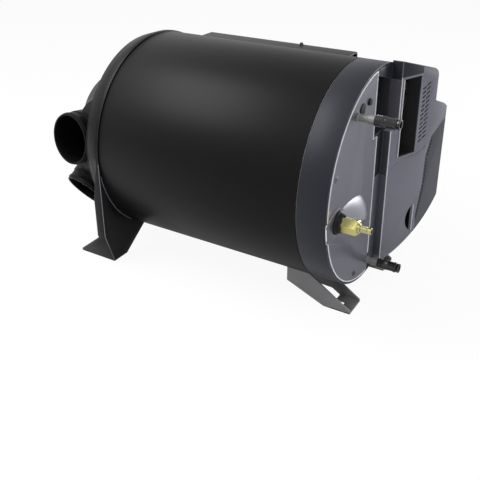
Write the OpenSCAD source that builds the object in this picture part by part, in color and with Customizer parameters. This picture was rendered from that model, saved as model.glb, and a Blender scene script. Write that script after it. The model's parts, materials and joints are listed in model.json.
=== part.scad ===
// Combination warm-air and water heater for a caravan.
// A drum lies along X on a moulded cradle at its left end and two sheet-metal feet at its right end.
// Four warm-air outlets leave the left end. Gas, water and wiring connect at the right end.
// The origin is midway between the two left floor bolts, at floor level, with +Z up and -Y to the front.

/* [Drum] */
// Outside diameter of the jacket
jacket_d = 280; // [270:1:290]
// Length of the jacket
jacket_len = 289; // [270:1:320]
// Sheet thickness of the jacket
jacket_t = 1.5; // [1:0.1:2]
// Height of the drum's axis above the floor
axis_h = 160; // [156:1:170]
// Width of the shadow gap at each end of the jacket
seam_gap = 0.8; // [0.4:0.1:0.9]
// Thickness of the foam shell under the jacket
foam_t = 7; // [5:0.5:9]

/* [Left cradle] */
// Distance from the jacket's left end to the line of the left floor bolts
bolt_inset = 37.5; // [30:0.5:45]
// Distance between the two left floor bolts
left_bolt_span = 228; // [220:1:234]
// Width of the band around the drum's left end
band_w = 21.5; // [18:0.5:26]
// Amount by which the band narrows towards its left edge
band_taper = 4; // [2:0.5:6]
// Radial depth of the band
band_depth = 10; // [8:0.5:14]
// Amount by which the band and the legs stand proud of the jacket
band_lip = 1.5; // [0.5:0.5:3]
// Wall of the moulded legs
leg_t = 3.2; // [2:0.2:4]
// Height of the knee where the foot starts to flare
knee_h = 45; // [35:1:55]
// Length of the foot along the drum
foot_len = 60; // [52:1:70]
// Distance of the legs' left edge from the band's left edge
leg_back = 8; // [0:1:10]
// Width of the foot's pad
foot_w = 27; // [22:1:34]
// Thickness of the foot's pad
pad_t = 4; // [3:0.5:6]
// Angle from straight down at which the leg leaves the band
arch_angle = 24; // [18:1:30]
// Diameter of each floor bolt hole
bolt_hole_d = 7; // [5:0.5:9]

/* [Air outlets] */
// Bore of each warm-air outlet
outlet_bore = 65; // [60:0.5:66]
// Wall of each warm-air outlet
outlet_wall = 2.5; // [2:0.25:2.75]
// Distance from the drum's axis to an outlet's rim
outlet_reach = 131; // [126:1:140]
// Angle of the upper outlets above the horizontal
outlet_up = 6; // [5:1:12]
// Angle of the lower outlets below the horizontal
outlet_down = 36; // [31:1:40]
// Angle by which the outlets lean away from the drum
outlet_lean = 8; // [6:1:20]
// Depth of the air manifold along the drum
manifold_depth = 74; // [70:1:84]
// Radius of the manifold's cylindrical part
manifold_r = 122; // [118:1:126]
// Radius of the manifold's flat end
manifold_end_r = 68; // [60:1:72]
// Wall of the manifold
manifold_t = 2.5; // [2:0.25:3.5]

/* [Right cap] */
// Width of the cap around the drum's right end
cap_w = 37; // [36:0.5:44]
// Wall of the cap's skirt
cap_t = 3; // [2:0.25:4]
// Thickness of the front end plate
plate_t = 3; // [2:0.25:3.25]
// Width of the wiring channel beside the end plate
channel_w = 24; // [20:1:28]
// Depth of the wiring pocket at the channel's top
channel_deep = 18; // [12:1:20]
// Reach of the wiring pocket in front of the channel
pocket_front = 12; // [8:1:16]
// Reach of the wiring pocket behind the channel
pocket_rear = 12; // [8:1:14]
// Width of the roof above the wiring pocket's front corner
pocket_roof = 7; // [4:1:12]

/* [Electronics housing] */
// Distance from the drum's axis plane to the housing's rear wall
housing_rear = 122; // [118:1:126]
// Distance from the drum's axis plane to the rear of the housing's upper block
block_rear = 100; // [96:1:104]
// Height of the upper block's foot above the axis
block_z = 76; // [70:1:84]
// Angle at which the upper block's top falls to the rear
block_fall = 17.7; // [14:0.1:20]
// Radius of the upper block's rear corner
block_corner_r = 12; // [8:1:16]
// Angle by which the housing's face turns away from the end plate
face_angle = 22.8; // [20:0.2:25]
// Wall of the housing's covers
cover_t = 2.5; // [2:0.25:3]
// Distance of the seam between the two covers from the drum's axis plane
seam_y = 91; // [88:1:94]
// Width of the connector recess
recess_w = 29; // [24:1:32]
// Height of the connector recess
recess_h = 103; // [90:1:106]
// Number of slots in the grille
slot_count = 13; // [9:1:14]
// Height of one grille slot
slot_h = 2.6; // [2:0.1:3.2]

/* [Water and gas] */
// Inner diameter of the annular water tank
tank_bore = 124; // [116:1:128]
// Length of the water tank
tank_len = 212; // [190:1:230]
// Sheet thickness of the water tank
tank_t = 1.2; // [1:0.1:2]
// Outside diameter of the water pipes
pipe_d = 8; // [6:0.5:10]
// Outside diameter of the push-fit bodies
fitting_d = 14; // [13:0.5:16]
// Length of the push-fit bodies
fitting_len = 30; // [26:1:34]
// Travel of each release collet
collet_travel = 1.5; // [1:0.1:2.5]
// Width across the flats of the gas inlet's hexagon
gas_hex = 17; // [14:0.5:19]
// Outside diameter of the gas inlet's tube end
gas_tube_d = 8; // [6:0.5:10]
// Lift of each gas valve plunger
plunger_lift = 2; // [1:0.1:2.5]
// Travel of the overheat reset button
reset_travel = 2; // [1:0.1:2.5]

/* [Burner and flue] */
// Outside diameter of the heat exchanger's tube
exchanger_d = 100; // [94:1:102]
// Number of fins on the heat exchanger
fin_count = 24; // [16:2:32]
// Outside diameter of the burner tube
burner_d = 74; // [66:1:78]
// Outside diameter of the exhaust stub
exhaust_d = 55; // [50:0.5:56]
// Outside diameter of the combustion-air collar
collar_d = 65; // [64:0.5:68]
// Distance from the drum's axis to the end of the exhaust stub
exhaust_reach = 190; // [180:1:200]
// Diameter of the combustion fan's wheel
combustion_wheel_d = 76; // [68:1:82]
// Diameter of the circulation fan's wheel
circulation_wheel_d = 112; // [96:1:116]
// Number of blades on each fan wheel
blade_count = 20; // [12:1:28]
// Diameter of both fan shafts
shaft_d = 5; // [4:0.5:6]

/* [Right feet] */
// Distance between the two right floor bolts
right_bolt_span = 117; // [108:1:124]
// Width of each sheet-metal foot
channel_foot_w = 33; // [28:1:36]
// Sheet thickness of each foot
foot_sheet = 2; // [1.5:0.25:3]
// Distance from the jacket's right end to the line of the right floor bolts
right_bolt_out = 29; // [25:1:34]
// Length of the pad that stands on the floor
foot_pad_len = 36; // [32:1:42]

/* [Rear duct] */
// Length of the cable duct behind the drum's top
duct_len = 235; // [200:1:260]
// Height of the duct's top above the drum's axis
duct_top = 122; // [118:1:126]
// Distance of the duct's front edge from the drum's axis plane
duct_front = 66; // [60:1:72]
// Distance of the duct's rear wall from the drum's axis plane
duct_rear = 112; // [106:1:118]
// Wall of the duct
duct_t = 2; // [1.5:0.25:3]

/* [Hidden] */
$fn = 96;
// Clearance between pieces that are fitted and stay put
fit = 0.2;
// Radial clearance of a running shaft or plunger
run = 0.05;
// Clearance round a moving piece that only needs to stay free
free = 0.6;
// Overlap that makes a cut pass cleanly through a face
cut = 1;

jr = jacket_d / 2;
jacket_left = bolt_inset;
jacket_right = jacket_left + jacket_len;
band_left = jacket_left - band_w;
leg_left = band_left + leg_back;
// Height over which a leg's left edge leaves the band
leg_blend = 60;
band_r = jr + band_lip;
band_in_r = jr - band_depth;
foot_left = jacket_left - foot_len;
leg_y = jr + band_lip;
foot_mid = left_bolt_span / 2;
foot_out = foot_mid + foot_w / 2;
foot_in = foot_mid - foot_w / 2;

foam_out_r = jr - jacket_t - fit;
foam_in_r = foam_out_r - foam_t;
tank_r = foam_in_r - fit;
tank_in_r = tank_bore / 2;
// Gap between the jacket's left end and the tank
tank_gap = 6;
tank_left = jacket_left + tank_gap;
tank_right = tank_left + tank_len;

// Radius of the drum that the manifold's, the outlets' and the duct's sizes are given for
sized_r = 140;
// Distance that those pieces move out with the drum's surface
drum_growth = jr - sized_r;

manifold_left = band_left - manifold_depth;
manifold_flange_t = 3;
manifold_wall_r = manifold_r + drum_growth;
// Margin between the manifold's flange and the band's outer edge
flange_margin = 1;
manifold_flange_r = jr - band_taper - flange_margin;
// Length of the manifold's cylindrical part
manifold_straight = 28;
cone_start = band_left - manifold_straight;
// Distance of the screws' circle outside the manifold's wall
screw_out = 6;
outlet_r = outlet_bore / 2 + outlet_wall;
// Wall of the collar that carries an outlet
boss_wall = 1.2;
// Depth to which an outlet enters its collar
outlet_seat = 3;
// Free length of an outlet past its collar
outlet_free = 18;
outlet_end = outlet_reach + drum_growth;
boss_reach = outlet_end - outlet_free;
outlet_rim = 1;
// Gap between an outlet's rim and the band
outlet_gap = 2.4;
// Station on the drum's axis where the outlets' centre lines meet
outlet_root_x = band_left - outlet_gap - cos(outlet_lean) * (outlet_r + outlet_rim)
  + sin(outlet_lean) * (outlet_end - outlet_seat);

partition_t = 3;
partition_x = jacket_right + 2;
partition_face = partition_x + partition_t;
cap_end = jacket_right + cap_w;
cap_in_r = jr - cap_t;
plate_x = cap_end - plate_t;
plate_r = cap_in_r - fit;

face_slope = tan(face_angle);
// Depth of the slanted face below the cap's end at the drum's axis plane
face_back = 1.5;
face_x0 = cap_end - face_back;
// Step in from the drum's surface to the housing
housing_step = 2;
housing_r = jr - housing_step;
housing_front = channel_w;
// Front and rear of the wiring pocket
pocket_y = [-pocket_front, channel_w + pocket_rear];
pocket_top = cap_in_r - pocket_roof;
tray_t = 2;
tray_x = cap_end - tray_t;
// Distance of the recess behind the wiring pocket
recess_in = 4;
recess_front = pocket_y[1] + recess_in;
recess_z = 12;
well_wall = 1.6;
well_back_t = 2;
board_t = 1.6;
board_gap = 4;
post_in = 4;
post_r = 3;
relay_in = 26;
can_in = 26;
relay_rows = [26, 54];
board_x = cap_end + board_gap;
board_y = [30, 98];
board_z = [-88, 4];

exchanger_r = exchanger_d / 2;
exchanger_wall = 4;
// Distance from the tank's left end to the closed end of the exchanger
exchanger_inset = 14;
exchanger_left = tank_left + exchanger_inset;
// Gaps from the fins to the tank's bore and to the collector
fin_gap = 2;
fin_back = 4.5;
fin_r = tank_in_r - fin_gap;
fin_t = 1.6;
burner_r = burner_d / 2;
burner_wall = 1.2;
burner_len = 96;
head_t = 4;
// Radius and places of the ignition rods that pass through the burner's head
rod_r = 1.2;
rod_y = 12;
rod_z = 6;
flange_t = 2;
flange_w = 4;
flange_r = exchanger_r + flange_w;

// Distance from the jacket's right end to the flue's centre line
flue_inset = 35;
flue_x = jacket_right - flue_inset;
exhaust_r = exhaust_d / 2;
exhaust_wall = 1.2;
collar_r = collar_d / 2;
collar_wall = 1.2;
neck_wall = 2;
neck_r = exhaust_r + neck_wall;
neck_len = 34;
neck_end = exchanger_r + neck_len;
// Margin of the collector on each side of its neck
collector_side = 2;
collector_w = 2 * (neck_r + collector_side);
collector_rise = 13;
collector_r = exchanger_r + collector_rise;
// Gap that the tank keeps round the collector and its neck
flue_gap = 1;
saddle_w = 10;
saddle_r = collar_r + saddle_w;
saddle_h = 6;
saddle_y = jr + saddle_h;
// Free length of the exhaust stub that enters its hose, and the bead that stops it
hose_len = 12;
bead_w = 2;
bead_h = 1;

// Room round the combustion fan's wheel, with the case's wall
case_room = 10;
case_r = combustion_wheel_d / 2 + case_room;
case_x = partition_face + flange_t;
case_depth = 13;
case_wall = 2;
// Gap at each side of the combustion fan's wheel
wheel_gap = 1.5;
motor_r = 24;
motor_x = case_x + case_depth;
motor_back_gap = 1.5;
motor_len = plate_x - motor_x - motor_back_gap;
shaft_r = shaft_d / 2;
hub_wall = 5;
hub_r = shaft_r + hub_wall;
bush_wall = 3;
bush_r = shaft_r + bush_wall;
wheel_disc = 1.6;
blade_t = 1.2;

hot_y = -68;
hot_z = 97;
cold_y = -2;
cold_z = -121;
hot_stub = 16;
cold_stub = 11;
pipe_r = pipe_d / 2;
pipe_wall = 1;
fitting_r = fitting_d / 2;
collet_wall = 1.4;
collet_r = pipe_r + collet_wall;
// Step between the push-fit's collar and its waist
collar_step = 1;
collet_flange_r = fitting_r - collar_step;
collet_flange_t = 2;
socket_depth = 16;
seal_w = 2.4;

gas_y = -108;
gas_z = -17;
gas_flange_r = 14.5;
gas_body_len = 26;
gas_tube_len = 15;
valve_y = [-123, -68];
valve_z = [-40, 3];
valve_gap = [5, 2.5];
valve_x = [partition_face + valve_gap[0], plate_x - valve_gap[1]];
valve_mid_x = (valve_x[0] + valve_x[1]) / 2;
coil_y = [-109, -82];
coil_r = 11;
coil_len = 30;
plunger_r = 4.5;
plunger_seat = -10;
gas_feed_z = -20;

reset_y = -34;
reset_z = 105;
reset_r = 4;
reset_guide_r = 7;

right_bolt_x = jacket_right + right_bolt_out;
foot_pad_left = right_bolt_x - foot_pad_len / 2;
foot_pad_right = right_bolt_x + foot_pad_len / 2;
// Length of the feet under the drum, left of the jacket's right end
foot_under = 42;
foot_top_left = jacket_right - foot_under;
foot_knee_h = 22;

// Distance from the jacket's left end to the duct
duct_start = 15;
duct_left = jacket_left + duct_start;
duct_bevel = 3;

motor_cap_len = 22;
motor_flange_t = 3;
motor_flange_w = 10;
wheel_inset = 18;
wheel_left = manifold_left + wheel_inset;
wheel_len = 30;
// Depth to which a fan's shaft enters its motor
shaft_in = 5;
bush_len = 8;
// Shares of a fan wheel's length and radius taken by its hub and blades
hub_share = 0.6;
blade_in = 0.66;
blade_out = 0.98;

screw_r = 2;
screw_head_r = 3.6;
screw_head_t = 2;
screw_count = 8;
plate_screw_at = [[-45, -119], [-118, 40]];
plate_return = 12;
plate_return_t = 2;
scoop_offset = [4, -1];
scoop_start = [gas_y + scoop_offset[0], gas_z + scoop_offset[1]];
scoop_end = [-46, -30];
scoop_r = [10, 22];
scoop_rise = [2, 7];
// Gap between the fan case and the channel's deep stretch
step_gap = 4;
channel_step = case_r + step_gap;
gas_stem_r = 6;
// Depth of the gas flange's face below the end plate's face
flange_sink = 1;
reset_stem = 6;
reset_proud = 0.5;
sensor_at = [60, -80];
step_drop = [7, 12];
step_run = 6;
seam_bend = 40;
seam_lean = 14;
seam_mid = 1;
seam_turn = [8, 26];
seam_top = 50;
grille_y = 81;
grille_w = 15;
grille_tilt = 30;
grille_margin = 16;
thumb_at = [88, -86];
thumb_r = 23;
socket_at = [74, 92];
socket_size = 14;
socket_h = 10;
foot_toe_h = 4.5;
foot_slope_back = 8.5;
foot_slope_h = 33;

// Placement: a shape drawn along Z is laid along X, at a distance from the drum's axis.
module along_x(x, y = 0, z = 0) {
  translate([x, y, axis_h + z]) rotate([0, 90, 0]) children();
}

// Placement: an outline drawn as (y, z about the axis) gets a depth along X.
module yz_slab(x, depth) {
  translate([x, 0, axis_h]) rotate([90, 0, 90]) linear_extrude(depth) children();
}

// Placement: an outline drawn as (x, z above the floor) gets a depth along Y.
module xz_slab(y, depth) {
  translate([0, y + depth, 0]) rotate([90, 0, 0]) linear_extrude(depth) children();
}

// Round bar along X.
module bar_x(x, len, r, y = 0, z = 0) {
  along_x(x, y, z) cylinder(h = len, r = r);
}

// Round tube along X.
module tube_x(x, len, ro, ri, y = 0, z = 0) {
  along_x(x, y, z) difference() {
    cylinder(h = len, r = ro);
    translate([0, 0, -cut]) cylinder(h = len + 2 * cut, r = ri);
  }
}

// Round bar along Y.
module bar_y(x, y, z, len, r) {
  translate([x, y, axis_h + z]) rotate([-90, 0, 0]) cylinder(h = len, r = r);
}

// Box from two corners, with heights about the drum's axis.
module span_box(x, y, z) {
  translate([x[0], y[0], axis_h + z[0]]) cube([x[1] - x[0], y[1] - y[0], z[1] - z[0]]);
}

// Drum
module jacket() {
  color("#2b2c2e") difference() {
    tube_x(jacket_left + seam_gap, jacket_len - 2 * seam_gap, jr, jr - jacket_t);
    bar_y(flue_x, jr / 2, 0, jr, collar_r - collar_wall);
  }
}

module foam_shell() {
  color("#4a4a4c") difference() {
    tube_x(jacket_left, jacket_len, foam_out_r, foam_in_r);
    bar_y(flue_x, jr / 2, 0, jr, collar_r - collar_wall);
  }
}

// Room that the tank leaves for the collector and its neck
module flue_room(gap) {
  bar_x(flue_x - collector_w / 2 - gap, tank_len, collector_r + gap);
  bar_y(flue_x, 0, 0, jr, neck_r + gap);
}

module water_tank() {
  color("#b9bcc0") difference() {
    tube_x(tank_left, tank_len, tank_r, tank_in_r);
    difference() {
      tube_x(tank_left + tank_t, tank_len - 2 * tank_t, tank_r - tank_t, tank_in_r + tank_t);
      flue_room(flue_gap + tank_t);
    }
    flue_room(flue_gap);
    bar_x(tank_right - 2 * tank_t, 3 * tank_t, pipe_r, hot_y, hot_z);
    bar_x(tank_right - 2 * tank_t, 3 * tank_t, pipe_r, cold_y, cold_z);
  }
}

// Left cradle
module leg_outline() {
  polygon([
    [-leg_y, 0], [-leg_y, knee_h - axis_h], [-foot_out, -axis_h], [-foot_in, -axis_h],
    [-band_r * sin(arch_angle), -band_r * cos(arch_angle)], [0, 0]
  ]);
}

module leg_side() {
  polygon([
    [foot_left, 0], [jacket_left, 0], [jacket_left, axis_h], [jacket_left - leg_t, axis_h],
    [leg_left, axis_h - leg_blend], [leg_left, knee_h - pad_t], [foot_left, pad_t]
  ]);
}

module leg_pocket() {
  difference() {
    polygon([
      [leg_t - leg_y, -leg_t], [leg_t - leg_y, knee_h - axis_h],
      [leg_t - foot_out, pad_t - axis_h], [0, pad_t - axis_h], [0, -leg_t]
    ]);
    circle(r = jr - band_taper - 1);
  }
}

module cradle_leg() {
  difference() {
    intersection() {
      yz_slab(foot_left, foot_len) leg_outline();
      xz_slab(-leg_y - cut, leg_y + cut) leg_side();
    }
    yz_slab(foot_left - cut, foot_len + cut - leg_t) leg_pocket();
    translate([0, -foot_mid, -cut]) cylinder(h = pad_t + 2 * cut, d = bolt_hole_d);
  }
}

module left_cradle() {
  band_bevel = 4;
  color("#3a3b3e") difference() {
    union() {
      along_x(band_left) rotate_extrude() polygon([
        [band_in_r - cut, 0], [jr - band_taper, 0], [band_r, band_w - band_bevel],
        [band_r, band_w], [band_in_r - cut, band_w]
      ]);
      cradle_leg();
      mirror([0, 1, 0]) cradle_leg();
    }
    bar_x(foot_left - cut, foot_len + 2 * cut, band_in_r);
    bar_x(foot_left - cut, band_left - foot_left + cut, manifold_flange_r + fit);
  }
}

// Air manifold and outlets
module at_outlet(angle) {
  translate([outlet_root_x, 0, axis_h]) rotate([angle, 0, 0]) rotate([0, 0, -outlet_lean])
    rotate([90, 0, 0]) children();
}

module both_sides() {
  children();
  mirror([0, 1, 0]) children();
}

module manifold_skin(inset) {
  end_x = manifold_left + inset;
  along_x(0) rotate_extrude() polygon([
    [0, end_x], [manifold_end_r - inset, end_x], [manifold_wall_r - inset, cone_start],
    [manifold_wall_r - inset, band_left + (inset > 0 ? cut : 0)], [0, band_left + (inset > 0 ? cut : 0)]
  ]);
}

module air_manifold() {
  color("#333437") difference() {
    union() {
      manifold_skin(0);
      bar_x(band_left - manifold_flange_t, manifold_flange_t, manifold_flange_r);
      both_sides() {
        at_outlet(-outlet_up) cylinder(h = boss_reach, r = outlet_r + fit + boss_wall);
        at_outlet(outlet_down) cylinder(h = boss_reach, r = outlet_r + fit + boss_wall);
      }
    }
    manifold_skin(manifold_t);
    bar_x(manifold_left - cut, manifold_depth, motor_r + fit);
    bar_x(band_left, jacket_len, jr);
    both_sides() for (angle = [-outlet_up, outlet_down]) at_outlet(angle) {
      cylinder(h = boss_reach + cut, r = outlet_r + fit);
      translate([0, 0, boss_reach]) cylinder(h = outlet_end, r = outlet_r + boss_wall + fit);
    }
    manifold_screw_places() cylinder(h = manifold_flange_t + 2 * cut, r = screw_r + fit);
  }
}

module outlet(angle) {
  difference() {
    union() {
      at_outlet(angle) translate([0, 0, boss_reach - outlet_seat])
        cylinder(h = outlet_end - boss_reach + outlet_seat, r = outlet_r);
      at_outlet(angle) translate([0, 0, boss_reach])
        cylinder(h = outlet_seat, r = outlet_r + boss_wall);
      at_outlet(angle) translate([0, 0, outlet_end - 2 * outlet_seat])
        cylinder(h = outlet_seat, r = outlet_r + outlet_rim);
    }
    at_outlet(angle) translate([0, 0, boss_reach - outlet_seat - cut])
      cylinder(h = outlet_end, r = outlet_bore / 2);
  }
}

module outlet_front_upper() { color("#2c2d2f") outlet(-outlet_up); }
module outlet_front_lower() { color("#2c2d2f") outlet(outlet_down); }
module outlet_rear_upper() { color("#2c2d2f") mirror([0, 1, 0]) outlet(-outlet_up); }
module outlet_rear_lower() { color("#2c2d2f") mirror([0, 1, 0]) outlet(outlet_down); }

module manifold_screw_places() {
  for (i = [0 : screw_count - 1])
    along_x(band_left - manifold_flange_t - cut) rotate([0, 0, 360 / screw_count * (i + 0.5)])
      translate([manifold_wall_r + screw_out, 0, 0]) children();
}

module manifold_screws() {
  color("#8d9094") manifold_screw_places() {
    translate([0, 0, cut - screw_head_t]) cylinder(h = screw_head_t, r = screw_head_r);
    translate([0, 0, cut - screw_head_t]) cylinder(h = screw_head_t + manifold_flange_t, r = screw_r);
  }
}

// Fan wheel: a back disc, a hub and blades, drawn along Z.
module fan_wheel(r, len) {
  difference() {
    union() {
      cylinder(h = wheel_disc, r = r);
      cylinder(h = len * hub_share, r = hub_r);
      for (i = [0 : blade_count - 1]) rotate([0, 0, 360 / blade_count * i])
        translate([r * blade_in, -blade_t / 2, 0]) cube([r * (blade_out - blade_in), blade_t, len]);
    }
    translate([0, 0, -cut]) cylinder(h = len + 2 * cut, r = shaft_r);
  }
}

module circulation_wheel() {
  color("#8f9396") along_x(wheel_left) fan_wheel(circulation_wheel_d / 2, wheel_len);
}

module circulation_shaft() {
  shaft_start = manifold_left - shaft_in;
  color("#c4c6c8") bar_x(shaft_start, wheel_left + wheel_len * hub_share - shaft_start, shaft_r);
}

module circulation_bush() {
  color("#9b7b45") tube_x(manifold_left, bush_len, bush_r, shaft_r + run);
}

module circulation_motor() {
  color("#5d5f62") difference() {
    union() {
      bar_x(manifold_left - motor_cap_len, motor_cap_len + bush_len, motor_r);
      bar_x(manifold_left - motor_flange_t, motor_flange_t, motor_r + motor_flange_w);
    }
    bar_x(manifold_left - shaft_in - free, shaft_in + free, shaft_r + free);
    bar_x(manifold_left, bush_len + cut, bush_r);
  }
}

// Heat exchanger and burner
module heat_exchanger() {
  exchanger_len = partition_x - exchanger_left;
  fin_end = flue_x - collector_w / 2 - fin_back;
  color("#c0c2c4") difference() {
    union() {
      bar_x(exchanger_left, exchanger_len, exchanger_r);
      bar_x(partition_x - flange_t, flange_t, flange_r);
      along_x(exchanger_left) linear_extrude(fin_end - exchanger_left) for (i = [0 : fin_count - 1])
        rotate(360 / fin_count * i) translate([exchanger_r - exchanger_wall / 2, -fin_t / 2])
          square([fin_r - exchanger_r + exchanger_wall / 2, fin_t]);
    }
    bar_x(exchanger_left + exchanger_wall, exchanger_len, exchanger_r - exchanger_wall);
    bar_y(flue_x, 0, 0, exchanger_d, exhaust_r - exchanger_wall);
  }
}

module burner_tube() {
  burner_left = partition_face - burner_len;
  color("#a7a9ab") difference() {
    union() {
      bar_x(burner_left, burner_len, burner_r);
      bar_x(partition_face, flange_t, flange_r);
    }
    bar_x(burner_left - cut, burner_len + flange_t + 2 * cut, burner_r - burner_wall);
  }
}

module burner_head() {
  hole_rings = [10, 20, 29];
  holes_round = 12;
  hole_r = 2;
  color("#8c8e90") difference() {
    bar_x(partition_face - burner_len, head_t, burner_r - burner_wall);
    for (r = hole_rings, i = [0 : holes_round - 1])
      along_x(partition_face - burner_len - cut) rotate([0, 0, 360 / holes_round * i])
        translate([r, 0, 0]) cylinder(h = head_t + 2 * cut, r = hole_r, $fn = 24);
    for (side = [-1, 1])
      bar_x(partition_face - burner_len - cut, head_t + 2 * cut, rod_r + fit, side * rod_y, rod_z);
  }
}

module ignition_electrodes() {
  rod_reach = 12;
  ceramic_r = 3.5;
  ceramic_len = 40;
  head_back = partition_face - burner_len + head_t;
  for (side = [-1, 1]) color("#e8e4da") {
    bar_x(head_back, ceramic_len, ceramic_r, side * rod_y, rod_z);
    bar_x(head_back - head_t - rod_reach, rod_reach + 2 * head_t, rod_r, side * rod_y, rod_z);
  }
}

// Flue
module exhaust_collector() {
  color("#a2a4a6") difference() {
    union() {
      bar_x(flue_x - collector_w / 2, collector_w, collector_r);
      bar_y(flue_x, 0, 0, neck_end, neck_r);
    }
    bar_x(flue_x - collector_w, 2 * collector_w, exchanger_r);
    bar_y(flue_x, 0, 0, neck_end + cut, exhaust_r);
  }
}

module exhaust_stub() {
  stub_start = collector_r;
  color("#b4b6b8") difference() {
    union() {
      bar_y(flue_x, stub_start, 0, exhaust_reach - stub_start, exhaust_r);
      bar_y(flue_x, exhaust_reach - hose_len - bead_w, 0, bead_w, exhaust_r + bead_h);
    }
    bar_y(flue_x, stub_start - cut, 0, exhaust_reach, exhaust_r - exhaust_wall);
  }
}

module flue_saddle() {
  color("#77797c") difference() {
    bar_y(flue_x, jr / 2, 0, saddle_y - jr / 2, saddle_r);
    bar_x(flue_x - saddle_r - cut, 2 * saddle_r + 2 * cut, jr);
    bar_y(flue_x, 0, 0, saddle_y + cut, collar_r - collar_wall);
  }
}

module air_collar() {
  color("#9fa1a4") difference() {
    bar_y(flue_x, saddle_y, 0, exhaust_reach - hose_len - bead_w - saddle_y, collar_r);
    bar_y(flue_x, saddle_y - cut, 0, exhaust_reach, collar_r - collar_wall);
  }
}

// Right cap
module right_cap() {
  color("#55585e") difference() {
    union() {
      tube_x(jacket_right, cap_w, jr, cap_in_r);
      bar_x(partition_x, partition_t, cap_in_r + cap_t / 2);
    }
    bar_x(partition_x - cut, partition_t + 2 * cut, burner_r + fit);
    bar_x(partition_x - cut, partition_t + 2 * cut, pipe_r + free, hot_y, hot_z);
    bar_x(partition_x - cut, partition_t + 2 * cut, pipe_r + free, cold_y, cold_z);
    air_slots();
  }
}

module air_slots() {
  slot_r = 88;
  slot_d = 24;
  for (angle = [-60, -25, 10, 45])
    along_x(partition_x - cut) rotate([0, 0, angle]) translate([0, slot_r, 0])
      cylinder(h = partition_t + 2 * cut, d = slot_d);
}

module combustion_case() {
  color("#6d7073") difference() {
    bar_x(case_x, case_depth, case_r);
    bar_x(case_x - cut, case_depth - case_wall + cut, case_r - case_wall);
    bar_x(case_x, case_depth + cut, bush_r);
  }
}

module combustion_wheel() {
  color("#3f4144") along_x(case_x + wheel_gap)
    fan_wheel(combustion_wheel_d / 2, case_depth - case_wall - 2 * wheel_gap);
}

module combustion_shaft() {
  color("#c4c6c8") bar_x(case_x + wheel_gap, case_depth + shaft_in - wheel_gap, shaft_r);
}

module combustion_bush() {
  color("#9b7b45") tube_x(motor_x - case_wall, case_wall, bush_r, shaft_r + run);
}

module combustion_motor() {
  color("#4b4d50") difference() {
    bar_x(motor_x, motor_len, motor_r);
    bar_x(motor_x - cut, shaft_in + free + cut, shaft_r + free);
  }
}

// Front end plate
module plate_outline(r) {
  difference() {
    intersection() {
      circle(r = r);
      translate([-2 * r, -r]) square([2 * r, 2 * r]);
    }
    translate([pocket_y[0], channel_step]) square([2 * pocket_front, jr]);
  }
}

// Embossed teardrop that gives a spanner room beside the gas inlet.
module gas_scoop() {
  drop = atan((scoop_start[1] - scoop_end[1]) / (scoop_end[0] - scoop_start[0]));
  scoop_len = norm(scoop_end - scoop_start);
  sink = [scoop_r[0] - scoop_rise[0], scoop_r[1] - scoop_rise[1]];
  dip = atan((sink[1] - sink[0]) / scoop_len);
  intersection() {
    translate([cap_end - sink[0], scoop_start[0], axis_h + scoop_start[1]])
      rotate([-drop, 0, 0]) rotate([0, 0, dip]) rotate([-90, 0, 0]) {
        cylinder(h = scoop_len, r1 = scoop_r[0], r2 = scoop_r[1]);
        translate([0, 0, scoop_len]) sphere(r = scoop_r[1]);
      }
    span_box([plate_x + plate_t / 2, cap_end + 2 * scoop_r[1]], [-jr, -plate_return_t], [-jr, jr]);
  }
}

module end_plate() {
  color("#73737d") difference() {
    union() {
      yz_slab(plate_x, plate_t) plate_outline(plate_r);
      intersection() {
        yz_slab(plate_x - plate_return, plate_return + plate_t) plate_outline(plate_r);
        span_box([plate_x - plate_return, cap_end], [pocket_y[0] - plate_return_t, pocket_y[0]],
          [channel_step, jr]);
      }
      gas_scoop();
    }
    along_x(plate_x - cut, gas_y, gas_z)
      cylinder(h = plate_t + scoop_r[1], r = gas_flange_r);
    along_x(plate_x - cut, hot_y, hot_z) cylinder(h = plate_t + 2 * cut, r = pipe_r + free);
    along_x(plate_x - cut, cold_y, cold_z) cylinder(h = plate_t + 2 * cut, r = pipe_r + free);
    along_x(plate_x - cut, reset_y, reset_z) cylinder(h = plate_t + 2 * cut, r = reset_r + free);
    plate_screw_places() cylinder(h = plate_t + 2 * cut, r = screw_r + fit);
  }
}

module plate_screw_places() {
  for (place = plate_screw_at) along_x(plate_x - cut, place[0], place[1]) children();
}

module plate_screws() {
  color("#3c3d40") plate_screw_places() {
    translate([0, 0, cut + plate_t]) cylinder(h = screw_head_t / 2, r = screw_head_r);
    translate([0, 0, cut]) cylinder(h = plate_t, r = screw_r);
  }
}

// Strip along the pocket's top, parallel to the housing's top.
module pocket_end(height) {
  low = pocket_top - tan(block_fall) * (pocket_y[1] - pocket_y[0]);
  polygon([
    [pocket_y[0], pocket_top], [pocket_y[1], low], [pocket_y[1], low + height],
    [pocket_y[0], pocket_top + height]
  ]);
}

// Stepped tray between the end plate and the electronics housing.
module cable_channel() {
  deep_x = cap_end - channel_deep;
  shallow_x = plate_x;
  color("#26272a") difference() {
    intersection() {
      bar_x(partition_face, cap_w, cap_in_r);
      union() {
        span_box([shallow_x, shallow_x + tray_t], [0, channel_w], [-jr, channel_step]);
        span_box([deep_x - tray_t, shallow_x + tray_t], pocket_y, [channel_step, channel_step + tray_t]);
        span_box([deep_x - tray_t, deep_x], pocket_y, [channel_step, jr]);
        span_box([deep_x - tray_t, shallow_x + tray_t], [pocket_y[1] - tray_t, pocket_y[1]],
          [channel_step, jr]);
        yz_slab(shallow_x, tray_t) pocket_end(jr);
        yz_slab(deep_x - tray_t, shallow_x - deep_x + tray_t) pocket_end(tray_t);
      }
    }
    bar_x(shallow_x - cut, tray_t + 2 * cut, pipe_r + free, cold_y, cold_z);
  }
}

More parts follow.
